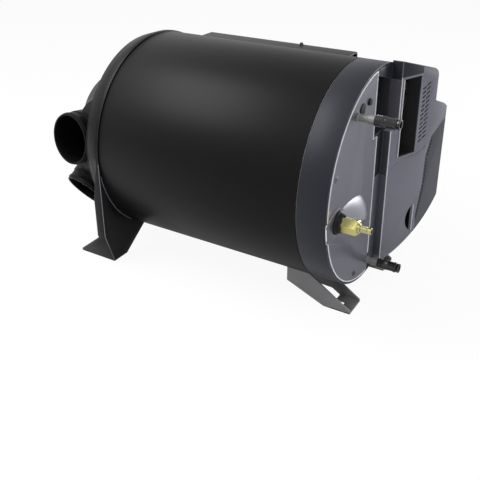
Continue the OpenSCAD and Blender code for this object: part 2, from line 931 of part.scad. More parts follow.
// Gas inlet, valve and feed
module gas_flange() {
  color("#1d1d20") tube_x(plate_x, plate_t - flange_sink, gas_flange_r, gas_stem_r, gas_y, gas_z);
}

module gas_inlet() {
  color("#a99a3f") difference() {
    union() {
      bar_x(valve_x[1], cap_end - valve_x[1], gas_stem_r, gas_y, gas_z);
      along_x(cap_end - flange_sink, gas_y, gas_z)
        cylinder(h = gas_body_len + flange_sink, d = gas_hex / cos(30), $fn = 6);
      bar_x(cap_end + gas_body_len, gas_tube_len, gas_tube_d / 2, gas_y, gas_z);
    }
    bar_x(valve_x[1] - cut, cap_w + gas_body_len + gas_tube_len, gas_tube_d / 2 - pipe_wall, gas_y, gas_z);
  }
}

module gas_valve_body() {
  color("#9a9c9f") difference() {
    span_box(valve_x, valve_y, valve_z);
    for (y = coil_y) translate([valve_mid_x, y, axis_h + plunger_seat - fit])
      cylinder(h = valve_z[1] - plunger_seat + cut, r = plunger_r + run);
  }
}

module gas_coil(y) {
  translate([valve_mid_x, y, axis_h + valve_z[1]]) difference() {
    cylinder(h = coil_len, r = coil_r);
    translate([0, 0, -cut]) cylinder(h = coil_len + 2 * cut, r = plunger_r + run);
  }
}

module gas_coil_main() { color("#1f2022") gas_coil(coil_y[0]); }
module gas_coil_stage() { color("#1f2022") gas_coil(coil_y[1]); }

module gas_plunger(y) {
  translate([valve_mid_x, y, axis_h + plunger_seat])
    cylinder(h = valve_z[1] + coil_len - plunger_seat - plunger_lift - free, r = plunger_r);
}

module gas_plunger_main() { color("#c8cacc") gas_plunger(coil_y[0]); }
module gas_plunger_stage() { color("#c8cacc") gas_plunger(coil_y[1]); }

module gas_feed() {
  feed_x = case_x + case_depth / 2;
  color("#b59a4a") difference() {
    bar_y(feed_x, valve_y[1], gas_feed_z, -valve_y[1], gas_tube_d / 2);
    bar_x(case_x - case_depth, 3 * case_depth, case_r);
    bar_y(feed_x, valve_y[1] - cut, gas_feed_z, -valve_y[1], gas_tube_d / 2 - pipe_wall);
  }
}

// Water connections
module water_pipe(y, z, stub) {
  pipe_start = tank_right - 3 * tank_t;
  pipe_end = cap_end + stub + fitting_len - socket_depth;
  tube_x(pipe_start, pipe_end - pipe_start, pipe_r, pipe_r - pipe_wall, y, z);
}

module push_fitting(y, z, stub) {
  start = cap_end + stub;
  collar_w = fitting_len / 3;
  difference() {
    union() {
      bar_x(start, fitting_len, fitting_r - collar_step, y, z);
      bar_x(start + fitting_len - collar_w, collar_w, fitting_r, y, z);
      bar_x(start, collar_w / 2, fitting_r - collar_step / 2, y, z);
    }
    bar_x(start - cut, fitting_len, pipe_r, y, z);
    bar_x(start + fitting_len - socket_depth, socket_depth + cut, collet_r + run, y, z);
  }
}

module release_collet(y, z, stub) {
  mouth = cap_end + stub + fitting_len;
  sleeve = socket_depth - seal_w - collet_travel - free;
  difference() {
    union() {
      bar_x(mouth - sleeve, sleeve + collet_travel + free, collet_r, y, z);
      bar_x(mouth + collet_travel + free, collet_flange_t, collet_flange_r, y, z);
    }
    bar_x(mouth - sleeve - cut, sleeve + collet_travel + free + collet_flange_t + 2 * cut,
      pipe_r + fit, y, z);
  }
}

module push_seal(y, z, stub) {
  tube_x(cap_end + stub + fitting_len - socket_depth, seal_w, collet_r + run, pipe_r + fit, y, z);
}

module hot_pipe() { color("#b8bab9") water_pipe(hot_y, hot_z, hot_stub); }
module hot_fitting() { color("#151517") push_fitting(hot_y, hot_z, hot_stub); }
module hot_collet() { color("#2a2a2d") release_collet(hot_y, hot_z, hot_stub); }
module hot_seal() { color("#101012") push_seal(hot_y, hot_z, hot_stub); }
module cold_pipe() { color("#9da0a2") water_pipe(cold_y, cold_z, cold_stub); }
module cold_fitting() { color("#151517") push_fitting(cold_y, cold_z, cold_stub); }
module cold_collet() { color("#2a2a2d") release_collet(cold_y, cold_z, cold_stub); }
module cold_seal() { color("#101012") push_seal(cold_y, cold_z, cold_stub); }

module water_sensor() {
  nut_t = 5;
  nut_r = 7;
  tip_len = 8;
  color("#c2a14a") {
    bar_x(tank_right, nut_t, nut_r, sensor_at[0], sensor_at[1]);
    bar_x(tank_right + nut_t, tip_len, nut_r / 2, sensor_at[0], sensor_at[1]);
  }
}

// Overheat reset
module reset_button() {
  button_len = reset_stem + plate_t + reset_travel + reset_proud;
  color("#26262a") bar_x(plate_x - reset_stem, button_len, reset_r, reset_y, reset_z);
}

module reset_switch() {
  pocket = reset_stem + reset_travel + free;
  color("#2b2c2f") tube_x(plate_x - pocket, pocket, reset_guide_r, reset_r + run, reset_y, reset_z);
}

// Electronics housing
module housing_outline(inset) {
  intersection() {
    circle(r = housing_r - inset);
    polygon([
      [housing_front + inset, -jr], [housing_rear - inset, -jr],
      [housing_rear - inset, block_z - step_drop[1] - inset],
      [housing_rear - step_run - inset, block_z - step_drop[0] - inset],
      [block_rear - inset, block_z - inset], [block_rear - inset, block_z + cut],
      [pocket_y[1] + inset, block_z + cut], [pocket_y[1] + inset, channel_step - inset],
      [housing_front + inset, channel_step - inset]
    ]);
  }
  block_outline(inset);
}

// Upper block with a straight top that falls to a rounded rear corner.
module block_outline(inset) {
  front = pocket_y[1] + inset;
  corner_y = block_rear - block_corner_r;
  corner_z = housing_r - tan(block_fall) * (corner_y - pocket_y[1]) - block_corner_r / cos(block_fall);
  corner = [corner_y, corner_z];
  round_r = block_corner_r - inset;
  polygon([
    [front, block_z - inset - cut], [block_rear - inset, block_z - inset - cut],
    [block_rear - inset, corner_z], corner + round_r * [sin(block_fall), cos(block_fall)],
    [front, housing_r - inset / cos(block_fall) - tan(block_fall) * inset]
  ]);
  translate(corner) circle(r = round_r);
}

module face_prism(inset) {
  back = cap_end - (inset > 0 ? cut : 0);
  lift = inset / cos(face_angle);
  reach = jacket_d;
  translate([0, 0, axis_h - jacket_d]) linear_extrude(2 * jacket_d) polygon([
    [back, 0], [face_x0 - lift, 0], [face_x0 + face_slope * reach - lift, reach], [back, reach]
  ]);
}

module housing_solid(inset) {
  intersection() {
    yz_slab(cap_end - cut, jacket_d) housing_outline(inset);
    face_prism(inset);
  }
}

// Region behind the seam, grown by a margin, where the rear cover lies.
module rear_region(margin) {
  yz_slab(cap_end - 2 * cut, jacket_d) polygon([
    [seam_y - seam_lean - margin, -jr], [seam_y - margin, -seam_bend], [seam_y + seam_mid - margin, 0],
    [seam_y + seam_turn[0] - margin, seam_turn[1] + margin],
    [housing_rear + 2 * cut, seam_top + margin], [housing_rear + 2 * cut, -jr]
  ]);
}

module grille_slots() {
  slot_pitch = (recess_h - 2 * grille_margin) / (slot_count - 1);
  for (i = [0 : slot_count - 1])
    translate([cap_end + cut, grille_y, axis_h + recess_z + grille_margin + i * slot_pitch])
      rotate([grille_tilt, 0, 0]) translate([0, -grille_w / 2, -slot_h / 2])
        cube([jacket_d, grille_w, slot_h]);
}

module thumb_slot() {
  intersection() {
    along_x(cap_end + cut, thumb_at[0], thumb_at[1]) cylinder(h = jacket_d, r = thumb_r);
    span_box([cap_end, cap_end + jacket_d], [0, thumb_at[0] - thumb_r / 2], [-jr, jr]);
  }
}

module electronics_cover() {
  color("#7b7b85") difference() {
    housing_solid(0);
    housing_solid(cover_t);
    rear_region(fit);
    span_box([cap_end + cut, cap_end + jacket_d], [recess_front, recess_front + recess_w],
      [recess_z, recess_z + recess_h]);
    grille_slots();
    thumb_slot();
  }
}

module rear_cover() {
  color("#505258") intersection() {
    difference() {
      housing_solid(0);
      housing_solid(cover_t);
    }
    rear_region(-fit);
  }
}

module connector_well() {
  color("#1a1a1d") difference() {
    intersection() {
      span_box([cap_end, cap_end + jacket_d], [recess_front + fit, recess_front + recess_w - fit],
        [recess_z + fit, recess_z + recess_h - fit]);
      face_prism(0);
    }
    span_box([cap_end + well_back_t, cap_end + jacket_d],
      [recess_front + well_wall, recess_front + recess_w - well_wall],
      [recess_z + well_wall, recess_z + recess_h - well_wall]);
  }
}

module signal_sockets() {
  side = 4;
  wall = 2;
  base_x = cap_end + well_back_t;
  far_y = recess_front + recess_w - side;
  for (z = socket_at) color("#35363a") difference() {
    span_box([base_x, base_x + socket_h], [recess_front + side, far_y], [z, z + socket_size]);
    span_box([base_x + wall, base_x + socket_h + cut], [recess_front + side + wall, far_y - wall],
      [z + wall, z + socket_size - wall]);
  }
}

module electronics_tray() {
  color("#45474b") {
    yz_slab(tray_x, tray_t) intersection() {
      circle(r = cap_in_r);
      polygon([
        [housing_front, -jr], [housing_rear, -jr], [housing_rear, jr], [pocket_y[1], jr],
        [pocket_y[1], channel_step], [housing_front, channel_step]
      ]);
    }
    for (y = [board_y[0] + post_in, board_y[1] - post_in], z = [board_z[0] + post_in, board_z[1] - post_in])
      bar_x(tray_x, tray_t + board_gap, post_r, y, z);
  }
}

module control_board() {
  color("#2c5a3a") span_box([board_x, board_x + board_t], board_y, board_z);
}

module board_parts() {
  top = board_x + board_t;
  relay = [12, 16, 22];
  relay_y = board_y[1] - relay_in;
  can_h = 9;
  can_r = 6;
  can_y = board_y[0] + can_in;
  color("#303236") for (z = [board_z[0] + relay_rows[0], board_z[0] + relay_rows[1]]) {
    span_box([top, top + relay[0]], [relay_y, relay_y + relay[1]], [z, z + relay[2]]);
    bar_x(top, can_h, can_r, can_y, z + can_r);
  }
}

// Cable duct behind the drum's top
module duct_outline(inset) {
  front = duct_front + drum_growth + inset;
  rear = duct_rear + drum_growth - inset;
  top = duct_top + drum_growth - inset;
  difference() {
    polygon([
      [front, 0], [front, top - duct_bevel], [front + duct_bevel, top],
      [rear - duct_bevel, top], [rear, top - duct_bevel], [rear, 0]
    ]);
    circle(r = jr + inset);
  }
}

module rear_duct() {
  color("#232426") difference() {
    yz_slab(duct_left, duct_len) duct_outline(0);
    yz_slab(duct_left + duct_t, duct_len) duct_outline(duct_t);
  }
}

// Right feet
module foot_side(lift) {
  slope = foot_knee_h / (foot_pad_left - foot_top_left);
  polygon(lift == 0 ? [
    [foot_top_left, axis_h], [foot_top_left, foot_knee_h], [foot_pad_left, 0], [foot_pad_right, 0],
    [foot_pad_right, foot_toe_h], [foot_pad_left - foot_slope_back, foot_slope_h],
    [foot_pad_left - foot_slope_back, axis_h]
  ] : [
    [foot_top_left - cut, axis_h], [foot_top_left - cut, foot_knee_h + cut * slope + lift],
    [foot_pad_left + lift / 4, lift], [foot_pad_right + cut, lift], [foot_pad_right + cut, axis_h]
  ]);
}

module right_foot() {
  near = -right_bolt_span / 2 - channel_foot_w / 2;
  difference() {
    xz_slab(near, channel_foot_w) foot_side(0);
    xz_slab(near + foot_sheet, channel_foot_w - 2 * foot_sheet) foot_side(foot_sheet);
    bar_x(foot_top_left - cut, jacket_len, jr);
    translate([right_bolt_x, -right_bolt_span / 2, -cut])
      cylinder(h = foot_sheet + 2 * cut, d = bolt_hole_d);
  }
}

module right_foot_front() { color("#75757a") right_foot(); }
module right_foot_rear() { color("#75757a") mirror([0, 1, 0]) right_foot(); }

jacket();
foam_shell();
water_tank();
left_cradle();
air_manifold();
outlet_front_upper();
outlet_front_lower();
outlet_rear_upper();
outlet_rear_lower();
circulation_wheel();
circulation_shaft();
circulation_motor();
circulation_bush();
heat_exchanger();
burner_tube();
burner_head();
ignition_electrodes();
exhaust_collector();
exhaust_stub();
flue_saddle();
air_collar();
right_cap();
combustion_case();
combustion_wheel();
combustion_shaft();
combustion_motor();
combustion_bush();
end_plate();
cable_channel();
gas_flange();
gas_inlet();
gas_valve_body();
gas_coil_main();
gas_coil_stage();
gas_plunger_main();
gas_plunger_stage();
gas_feed();
hot_pipe();
hot_fitting();
hot_collet();
hot_seal();
cold_pipe();
cold_fitting();
cold_collet();
cold_seal();
electronics_tray();
electronics_cover();
rear_cover();
connector_well();
signal_sockets();
control_board();
board_parts();
reset_button();
reset_switch();
water_sensor();
rear_duct();
right_foot_front();
right_foot_rear();
manifold_screws();
plate_screws();
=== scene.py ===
"""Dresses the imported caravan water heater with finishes, moulded detail, floor, light and camera."""

import json
import logging
import math
from dataclasses import dataclass
from enum import Enum
from typing import Callable, Sequence

import bmesh
import bpy
from mathutils import Matrix, Vector


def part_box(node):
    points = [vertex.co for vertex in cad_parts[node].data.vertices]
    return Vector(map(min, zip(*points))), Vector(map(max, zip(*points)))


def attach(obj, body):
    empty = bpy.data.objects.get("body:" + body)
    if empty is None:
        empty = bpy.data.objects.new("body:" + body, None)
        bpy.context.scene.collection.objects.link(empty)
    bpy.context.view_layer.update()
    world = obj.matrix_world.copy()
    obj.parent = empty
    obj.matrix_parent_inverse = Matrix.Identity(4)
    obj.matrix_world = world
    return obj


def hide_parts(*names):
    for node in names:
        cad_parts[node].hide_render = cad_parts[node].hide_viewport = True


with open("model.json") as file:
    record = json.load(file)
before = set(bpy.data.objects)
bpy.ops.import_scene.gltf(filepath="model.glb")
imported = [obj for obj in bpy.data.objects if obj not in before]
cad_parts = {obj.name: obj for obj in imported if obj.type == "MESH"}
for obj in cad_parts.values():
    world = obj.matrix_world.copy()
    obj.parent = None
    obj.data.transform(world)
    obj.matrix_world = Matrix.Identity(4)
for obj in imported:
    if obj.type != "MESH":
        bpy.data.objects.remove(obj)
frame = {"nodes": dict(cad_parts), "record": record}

LOG = logging.getLogger("heater")
MM = 0.001
AXIS_HEIGHT = 160.0
ALONG, REARWARD, UPWARD = Vector((1, 0, 0)), Vector((0, 1, 0)), Vector((0, 0, 1))

# Angles are in degrees and lengths in millimetres.
SHARP_ANGLE = 34.0
TRIM_ANGLE = 80.0
CORNER_ANGLE = 38.0
FLAT_ANGLE = 0.4
BEAD_SIDES = 8
# Shares of a screw head's height and radius, and of its cross recess.
PAN_HEAD = ((0.0, 0.0), (0.0, 1.0), (0.45, 1.0), (0.8, 0.86), (1.0, 0.6))
CROSS_LOBES, CROSS_SWING = 4, 0.45
CROSS_SHARE, CROSS_FLOOR = 0.36, 0.35
SCREW_STEPS = 40

NO_RADIUS = 1e-6
PARALLEL = 1e-4
# Corners that lie nearer than this, in metres, are one corner: in a plate, and in a CAD node.
PLATE_GAP, NODE_GAP = 1e-7, 3e-6

# Paler tone that edges are mixed toward: partly wear, partly a painted highlight.
WEAR_AND_HIGHLIGHT_TONE = (0.62, 0.62, 0.64)
CLOUD_STOPS = (0.3, 0.7)
CLOUD_DETAIL, GRAIN_DETAIL = 3.0, 4.0
BUMP_STRENGTH = 0.5
GRAIN_SPAN = (0.25, 0.75)
EDGE_SAMPLES = 4
EDGE_SPAN = (0.995, 0.90)
PATCH_SPAN, PATCH_SHARE = (0.30, 0.60), (0.55, 1.0)

Mesh = bmesh.types.BMesh
Socket = bpy.types.NodeSocket
Pair = tuple[float, float]
Triple = tuple[float, float, float]
Colour = tuple[float, float, float, float]
Profile = Sequence[tuple[float, ...]]


# Finishes


@dataclass(frozen=True)
class GrainLook:
    """How a surface breaks up: the size, stretch and depth of its grain.

    Args:
        scale: grains per metre.
        stretch: scale of the grain along X, Y and Z.
        depth: height of the grain in millimetres.
        spread: swing of the roughness about its middle.
        cloud: patches of colour per metre.
    """

    scale: float
    stretch: Triple
    depth: float
    spread: float
    cloud: float


class Grain(Enum):
    """The kinds of surface found on the heater."""

    PAINT = GrainLook(900.0, (1.0, 1.0, 1.0), 0.020, 0.06, 9.0)
    MOULDED = GrainLook(1500.0, (1.0, 1.0, 1.0), 0.035, 0.07, 14.0)
    GLOSS = GrainLook(260.0, (1.0, 1.0, 1.0), 0.004, 0.04, 30.0)
    BRUSHED = GrainLook(700.0, (0.03, 1.0, 1.0), 0.012, 0.10, 16.0)
    CAST = GrainLook(520.0, (1.0, 1.0, 1.0), 0.080, 0.10, 24.0)
    RUBBER = GrainLook(1100.0, (1.0, 1.0, 1.0), 0.050, 0.08, 40.0)
    FOAM = GrainLook(420.0, (1.0, 1.0, 1.0), 0.400, 0.05, 30.0)
    BOARD = GrainLook(650.0, (0.2, 1.0, 1.0), 0.015, 0.08, 60.0)


def linear(channel: float) -> float:
    """Gives the linear value of a display channel from 0 to 255."""
    c = channel / 255.0
    return c / 12.92 if c <= 0.04045 else ((c + 0.055) / 1.055) ** 2.4


def add_node(tree: bpy.types.NodeTree, kind: str, **values: object) -> bpy.types.Node:
    """Adds a shader node.

    Args:
        tree: the node tree that it is added to.
        kind: the node's type without its common start.
        values: values of the node's inputs, with _ for a space in an input's name.

    Returns:
        The new node.
    """
    node = tree.nodes.new("ShaderNode" + kind)
    for key, value in values.items():
        node.inputs[key.replace("_", " ")].default_value = value
    return node


@dataclass(frozen=True)
class Finish:
    """A procedural finish for one material slot of the record.

    Args:
        slot: the record's material slot.
        shade: display colour, 0 to 255 a channel.
        roughness: middle of the roughness.
        grain: kind of surface.
        metallic: share of bare metal.
        specular: reflection level at a right angle.
        wear_and_highlight: strength of the paler line along edges, partly wear and partly a painted
            highlight.
        edge: reach of that line in millimetres.
        drift: swing of the colour between patches.
        label: name of a variant of the slot's finish.
    """

    slot: str
    shade: tuple[int, int, int]
    roughness: float
    grain: Grain = Grain.MOULDED
    metallic: float = 0.0
    specular: float = 0.4
    wear_and_highlight: float = 0.25
    edge: float = 0.7
    drift: float = 0.10
    label: str = ""

    def tone(self, gain: float) -> Colour:
        """Gives the linear colour times a gain."""
        r, g, b = (min(1.0, linear(c) * gain) for c in self.shade)
        return (r, g, b, 1.0)

    def wear_and_highlight_tone(self) -> Colour:
        """Gives the paler colour of an edge: partly wear, partly a painted highlight."""
        r, g, b = (c + (worn - c) * self.wear_and_highlight for c, worn in zip(map(linear, self.shade), WEAR_AND_HIGHLIGHT_TONE))
        return (r, g, b, 1.0)

    def material(self) -> bpy.types.Material:
        """Makes the finish once and gives it out after that.

        Returns:
            The node material of this finish.
        """
        name = (self.label or self.slot) + "_finish"
        known = bpy.data.materials.get(name)
        if known is not None:
            return known
        mat = bpy.data.materials.new(name)
        mat.use_nodes = True
        mat.diffuse_color = self.tone(1.0)
        tree, join = mat.node_tree, mat.node_tree.links.new
        look: GrainLook = self.grain.value
        shader = tree.nodes["Principled BSDF"]
        shader.inputs["Metallic"].default_value = self.metallic
        shader.inputs["Specular IOR Level"].default_value = self.specular

        place = add_node(tree, "TexCoord").outputs["Object"]
        fit = add_node(tree, "Mapping", Scale=look.stretch)
        join(place, fit.inputs["Vector"])
        cloud = self._noise(tree, place, look.cloud, CLOUD_DETAIL)
        fine = self._noise(tree, fit.outputs["Vector"], look.scale, GRAIN_DETAIL)

        ramp = add_node(tree, "ValToRGB")
        gains = (1.0 - self.drift, 1.0 + self.drift)
        for stop, position, gain in zip(ramp.color_ramp.elements, CLOUD_STOPS, gains):
            stop.position, stop.color = position, self.tone(gain)
        join(cloud, ramp.inputs["Fac"])
        # Edges are mixed toward a paler tone, partly as wear and partly as a painted highlight.
        mix = add_node(tree, "Mix")
        mix.data_type = "RGBA"
        join(self._wear_and_highlight_mask(tree, fine), mix.inputs[0])
        join(ramp.outputs["Color"], mix.inputs[6])
        mix.inputs[7].default_value = self.wear_and_highlight_tone()
        join(mix.outputs[2], shader.inputs["Base Color"])

        spread = (self.roughness - look.spread, self.roughness + look.spread)
        join(self._ranged(tree, fine, GRAIN_SPAN, spread), shader.inputs["Roughness"])
        bump = add_node(tree, "Bump", Strength=BUMP_STRENGTH, Distance=look.depth * MM)
        join(fine, bump.inputs["Height"])
        join(bump.outputs["Normal"], shader.inputs["Normal"])
        return mat

    @staticmethod
    def _noise(tree: bpy.types.NodeTree, place: Socket, scale: float, detail: float) -> Socket:
        """Adds a noise texture.

        Args:
            tree: the node tree that it is added to.
            place: where the noise is read.
            scale: patches per metre.
            detail: levels of finer noise.

        Returns:
            The value of the noise.
        """
        node = add_node(tree, "TexNoise", Scale=scale, Detail=detail)
        tree.links.new(place, node.inputs["Vector"])
        return node.outputs[0]

    @staticmethod
    def _ranged(tree: bpy.types.NodeTree, value: Socket, source: Pair, target: Pair) -> Socket:
        """Adds a map from one range to another.

        Args:
            tree: the node tree that it is added to.
            value: the value that is mapped.
            source: the range that it is read in.
            target: the range that it is laid over.

        Returns:
            The mapped value.
        """
        node = add_node(tree, "MapRange", From_Min=source[0], From_Max=source[1],
                        To_Min=target[0], To_Max=target[1])
        tree.links.new(value, node.inputs["Value"])
        return node.outputs["Result"]

    def _wear_and_highlight_mask(self, tree: bpy.types.NodeTree, fine: Socket) -> Socket:
        """Adds the mask of the edges that are painted paler, creases as well as convex edges, partly as wear
        and partly as a painted highlight; it is broken up by the grain.

        Args:
            tree: the node tree that it is added to.
            fine: the value of the grain.

        Returns:
            The mask, which is 1 on an edge that is painted paler.
        """
        rounded = add_node(tree, "Bevel", Radius=self.edge * MM)
        rounded.samples = EDGE_SAMPLES
        dot = add_node(tree, "VectorMath")
        dot.operation = "DOT_PRODUCT"
        tree.links.new(rounded.outputs["Normal"], dot.inputs[0])
        tree.links.new(add_node(tree, "NewGeometry").outputs["Normal"], dot.inputs[1])
        both = add_node(tree, "Math")
        both.operation = "MULTIPLY"
        bend = self._ranged(tree, dot.outputs["Value"], EDGE_SPAN, (0.0, 1.0))
        tree.links.new(bend, both.inputs[0])
        tree.links.new(self._ranged(tree, fine, PATCH_SPAN, PATCH_SHARE), both.inputs[1])
        return both.outputs["Value"]


FINISHES: dict[str, Finish] = {f.label or f.slot: f for f in (
    Finish("jacket_skin", (9, 9, 10), 0.42, Grain.PAINT, specular=0.12, wear_and_highlight=0.08, drift=0.06),
    Finish("foam", (214, 206, 180), 0.90, Grain.FOAM, wear_and_highlight=0.0),
    Finish("stainless", (176, 178, 182), 0.30, Grain.BRUSHED, metallic=1.0),
    Finish("cradle_plastic", (13, 13, 15), 0.42, specular=0.13, wear_and_highlight=0.16, edge=0.9),
    Finish("outlet_plastic", (10, 10, 11), 0.44, specular=0.08, wear_and_highlight=0.03),
    Finish("fan_plastic", (24, 24, 26), 0.50, specular=0.2),
    Finish("bright_steel", (190, 192, 196), 0.25, Grain.BRUSHED, metallic=1.0),
    Finish("motor_paint", (52, 54, 58), 0.45, Grain.CAST, wear_and_highlight=0.30),
    Finish("bearing_bronze", (172, 126, 72), 0.34, Grain.CAST, metallic=1.0),
    Finish("ceramic", (226, 222, 210), 0.45, wear_and_highlight=0.05),
    Finish("cap_plastic", (32, 34, 41), 0.44, specular=0.18, wear_and_highlight=0.22),
    Finish("plate_metal", (92, 92, 103), 0.36, Grain.PAINT, metallic=0.35, wear_and_highlight=0.60, edge=0.9),
    # Near-white bead colour along the plate's rim: a painted highlight.
    Finish("plate_metal", (226, 226, 232), 0.34, Grain.PAINT, wear_and_highlight=0.30, label="rim_painted_highlight"),
    # Paler finish for the scoop, standing in for the highlight on its flank: a painted highlight.
    Finish("plate_metal", (138, 138, 147), 0.32, Grain.PAINT, metallic=0.45, wear_and_highlight=0.40, label="scoop_painted_highlight"),
    Finish("channel_plastic", (24, 24, 27), 0.50, specular=0.2, wear_and_highlight=0.15),
    Finish("channel_plastic", (72, 73, 82), 0.48, specular=0.25, label="channel_floor"),
    Finish("cover_plastic", (74, 74, 81), 0.46, specular=0.2, wear_and_highlight=0.20, label="cover_cheek"),
    Finish("cover_plastic", (56, 56, 61), 0.48, specular=0.2, wear_and_highlight=0.15, label="cover_flank"),
    # Near-black for the connector well and sockets, and for the sheets behind the grille's slots, where it is
    # painted shade.
    Finish("channel_plastic", (15, 15, 17), 0.52, specular=0.15, wear_and_highlight=0.10, label="well_black_and_slot_shade"),
    Finish("seal_rubber", (20, 20, 21), 0.60, Grain.RUBBER, specular=0.2, wear_and_highlight=0.08),
    Finish("brass", (172, 165, 104), 0.24, Grain.GLOSS, metallic=1.0, wear_and_highlight=0.55, edge=0.9),
    Finish("valve_alloy", (150, 152, 156), 0.45, Grain.CAST, metallic=1.0),
    Finish("pipe_steel", (126, 127, 124), 0.38, Grain.BRUSHED, metallic=0.3),
    Finish("fitting_gloss", (14, 14, 16), 0.16, Grain.GLOSS, specular=0.5, wear_and_highlight=0.12, edge=0.3),
    Finish("tray_plastic", (60, 61, 66), 0.50),
    Finish("cover_plastic", (113, 113, 124), 0.42, specular=0.3, wear_and_highlight=0.50, edge=0.9),
    # Near-white bead colour on the cover's front edge: a painted highlight.
    Finish("cover_plastic", (220, 220, 226), 0.36, wear_and_highlight=0.20, label="cover_edge_painted_highlight"),
    Finish("rear_cover_plastic", (78, 79, 86), 0.46, specular=0.25, wear_and_highlight=0.30),
    Finish("board_green", (36, 84, 52), 0.40, Grain.BOARD),
    Finish("duct_plastic", (24, 25, 27), 0.48, specular=0.2, wear_and_highlight=0.22),
    Finish("foot_steel", (116, 116, 117), 0.38, Grain.BRUSHED, metallic=0.3, wear_and_highlight=0.45),
    # Pale bead colour on the legs' edges: a painted highlight.
    Finish("cradle_plastic", (112, 114, 120), 0.44, wear_and_highlight=0.20, label="leg_painted_highlight"),
)}


# Shaping


def point(x: float, y: float, z: float) -> Vector:
    """Gives a point in metres from millimetres, with z measured from the drum's axis."""
    return Vector((x, y, z + AXIS_HEIGHT)) * MM


def facing(origin: Vector, u: Vector, v: Vector, w: Vector) -> Matrix:
    """Gives the matrix that lays an outline somewhere.

    Args:
        origin: where the outline's zero lies, in metres.
        u: direction of the outline's first measure.
        v: direction of its second measure.
        w: direction that it is lifted in.

    Returns:
        The matrix with these four columns.
    """
    place = Matrix.Identity(4)
    for column, axis in enumerate((u, v, w, origin)):
        for row in range(3):
            place[row][column] = axis[row]
    return place


def publish(name: str, bm: Mesh, sharp: float = SHARP_ANGLE) -> bpy.types.Object:
    """Writes a mesh to a new object, smooth apart from its sharp edges.

    Args:
        name: name of the piece.
        bm: the mesh, which is freed.
        sharp: angle in degrees from which an edge stays sharp.

    Returns:
        The new object.
    """
    bmesh.ops.recalc_face_normals(bm, faces=bm.faces)
    mesh = bpy.data.meshes.new(name)
    bm.to_mesh(mesh)
    bm.free()
    for layer in [a.name for a in mesh.attributes if a.name == "custom_normal"]:
        mesh.attributes.remove(mesh.attributes[layer])
    mesh.shade_smooth()
    mesh.set_sharp_from_angle(angle=math.radians(sharp))
    obj = bpy.data.objects.new(name, mesh)
    bpy.context.scene.collection.objects.link(obj)
    return obj


def turn(bm: Mesh, profile: Profile, origin: Vector, axis: Vector = ALONG, steps: int = 48) -> None:
    """Adds a profile turned about an axis.

    Args:
        bm: the mesh that grows.
        profile: (along, radius[, swing]) points in millimetres; a swing waves the radius in lobes.
        origin: start of the axis in metres.
        axis: direction of the axis.
        steps: steps round the axis.
    """
    along = axis.normalized()
    side = along.orthogonal().normalized()
    across = along.cross(side)
    rings: list[list[bmesh.types.BMVert]] = []
    for entry in profile:
        station, radius = entry[0], entry[1]
        swing = entry[2] if len(entry) > 2 else 0.0
        base = origin + along * station * MM
        if radius < NO_RADIUS:
            rings.append([bm.verts.new(base)])
            continue
        ring = []
        for i in range(steps):
            t = 2.0 * math.pi * i / steps
            reach = radius * (1.0 + swing * math.cos(CROSS_LOBES * t)) * MM
            ring.append(bm.verts.new(base + side * math.cos(t) * reach + across * math.sin(t) * reach))
        rings.append(ring)
    pairs = list(zip(rings, rings[1:]))
    if len(rings[0]) > 1 and len(rings[-1]) > 1:
        pairs.append((rings[-1], rings[0]))
    for one, two in pairs:
        for i in range(steps):
            j = (i + 1) % steps
            a = [one[0]] if len(one) == 1 else [one[i], one[j]]
            b = [two[0]] if len(two) == 1 else [two[j], two[i]]
            if len(a) + len(b) > 2:
                bm.faces.new(a + b)


def loft(bm: Mesh, sections: Sequence[Sequence[Vector]]) -> None:
    """Adds a closed skin over sections.

    Args:
        bm: the mesh that grows.
        sections: rings of points in metres, all with the same count.
    """
    rings = [[bm.verts.new(p) for p in section] for section in sections]
    for one, two in zip(rings, rings[1:]):
        for i in range(len(one)):
            j = (i + 1) % len(one)
            bm.faces.new((one[i], one[j], two[j], two[i]))
    bm.faces.new(rings[0][::-1])
    bm.faces.new(rings[-1])


def bead(bm: Mesh, path: Sequence[Vector], radius: float) -> None:
    """Adds a round bead along a path.

    Args:
        bm: the mesh that grows.
        path: points in metres.
        radius: radius of the bead in millimetres.
    """
    angles = [2.0 * math.pi * k / BEAD_SIDES for k in range(BEAD_SIDES)]
    rings = []
    for i, centre in enumerate(path):
        tangent = (path[min(i + 1, len(path) - 1)] - path[max(i - 1, 0)]).normalized()
        normal = tangent.cross(ALONG)
        normal = normal.normalized() if normal.length > PARALLEL else tangent.orthogonal().normalized()
        other = tangent.cross(normal)
        rings.append([centre + (normal * math.cos(t) + other * math.sin(t)) * radius * MM for t in angles])
    loft(bm, rings)


def curved(points: Sequence[Pair], steps: int = 6) -> list[Pair]:
    """Gives a closed outline that passes smoothly through its points.

    Args:
        points: the points in millimetres.
        steps: steps from one point to the next.

    Returns:
        The points of the smooth outline.
    """
    out: list[Pair] = []
    count = len(points)
    for i in range(count):
        p0, p1, p2, p3 = (Vector(points[(i + k) % count]) for k in (-1, 0, 1, 2))
        for s in range(steps):
            t = s / steps
            q = 0.5 * (2 * p1 + (p2 - p0) * t + (2 * p0 - 5 * p1 + 4 * p2 - p3) * t * t
                       + (3 * p1 - p0 - 3 * p2 + p3) * t ** 3)
            out.append((q.x, q.y))
    return out


def arc(centre: Pair, radius: float, start: float, end: float, steps: int) -> list[Pair]:
    """Gives the points of an arc between two angles in degrees."""
    angles = (math.radians(start + (end - start) * i / steps) for i in range(steps + 1))
    return [(centre[0] + radius * math.cos(a), centre[1] + radius * math.sin(a)) for a in angles]


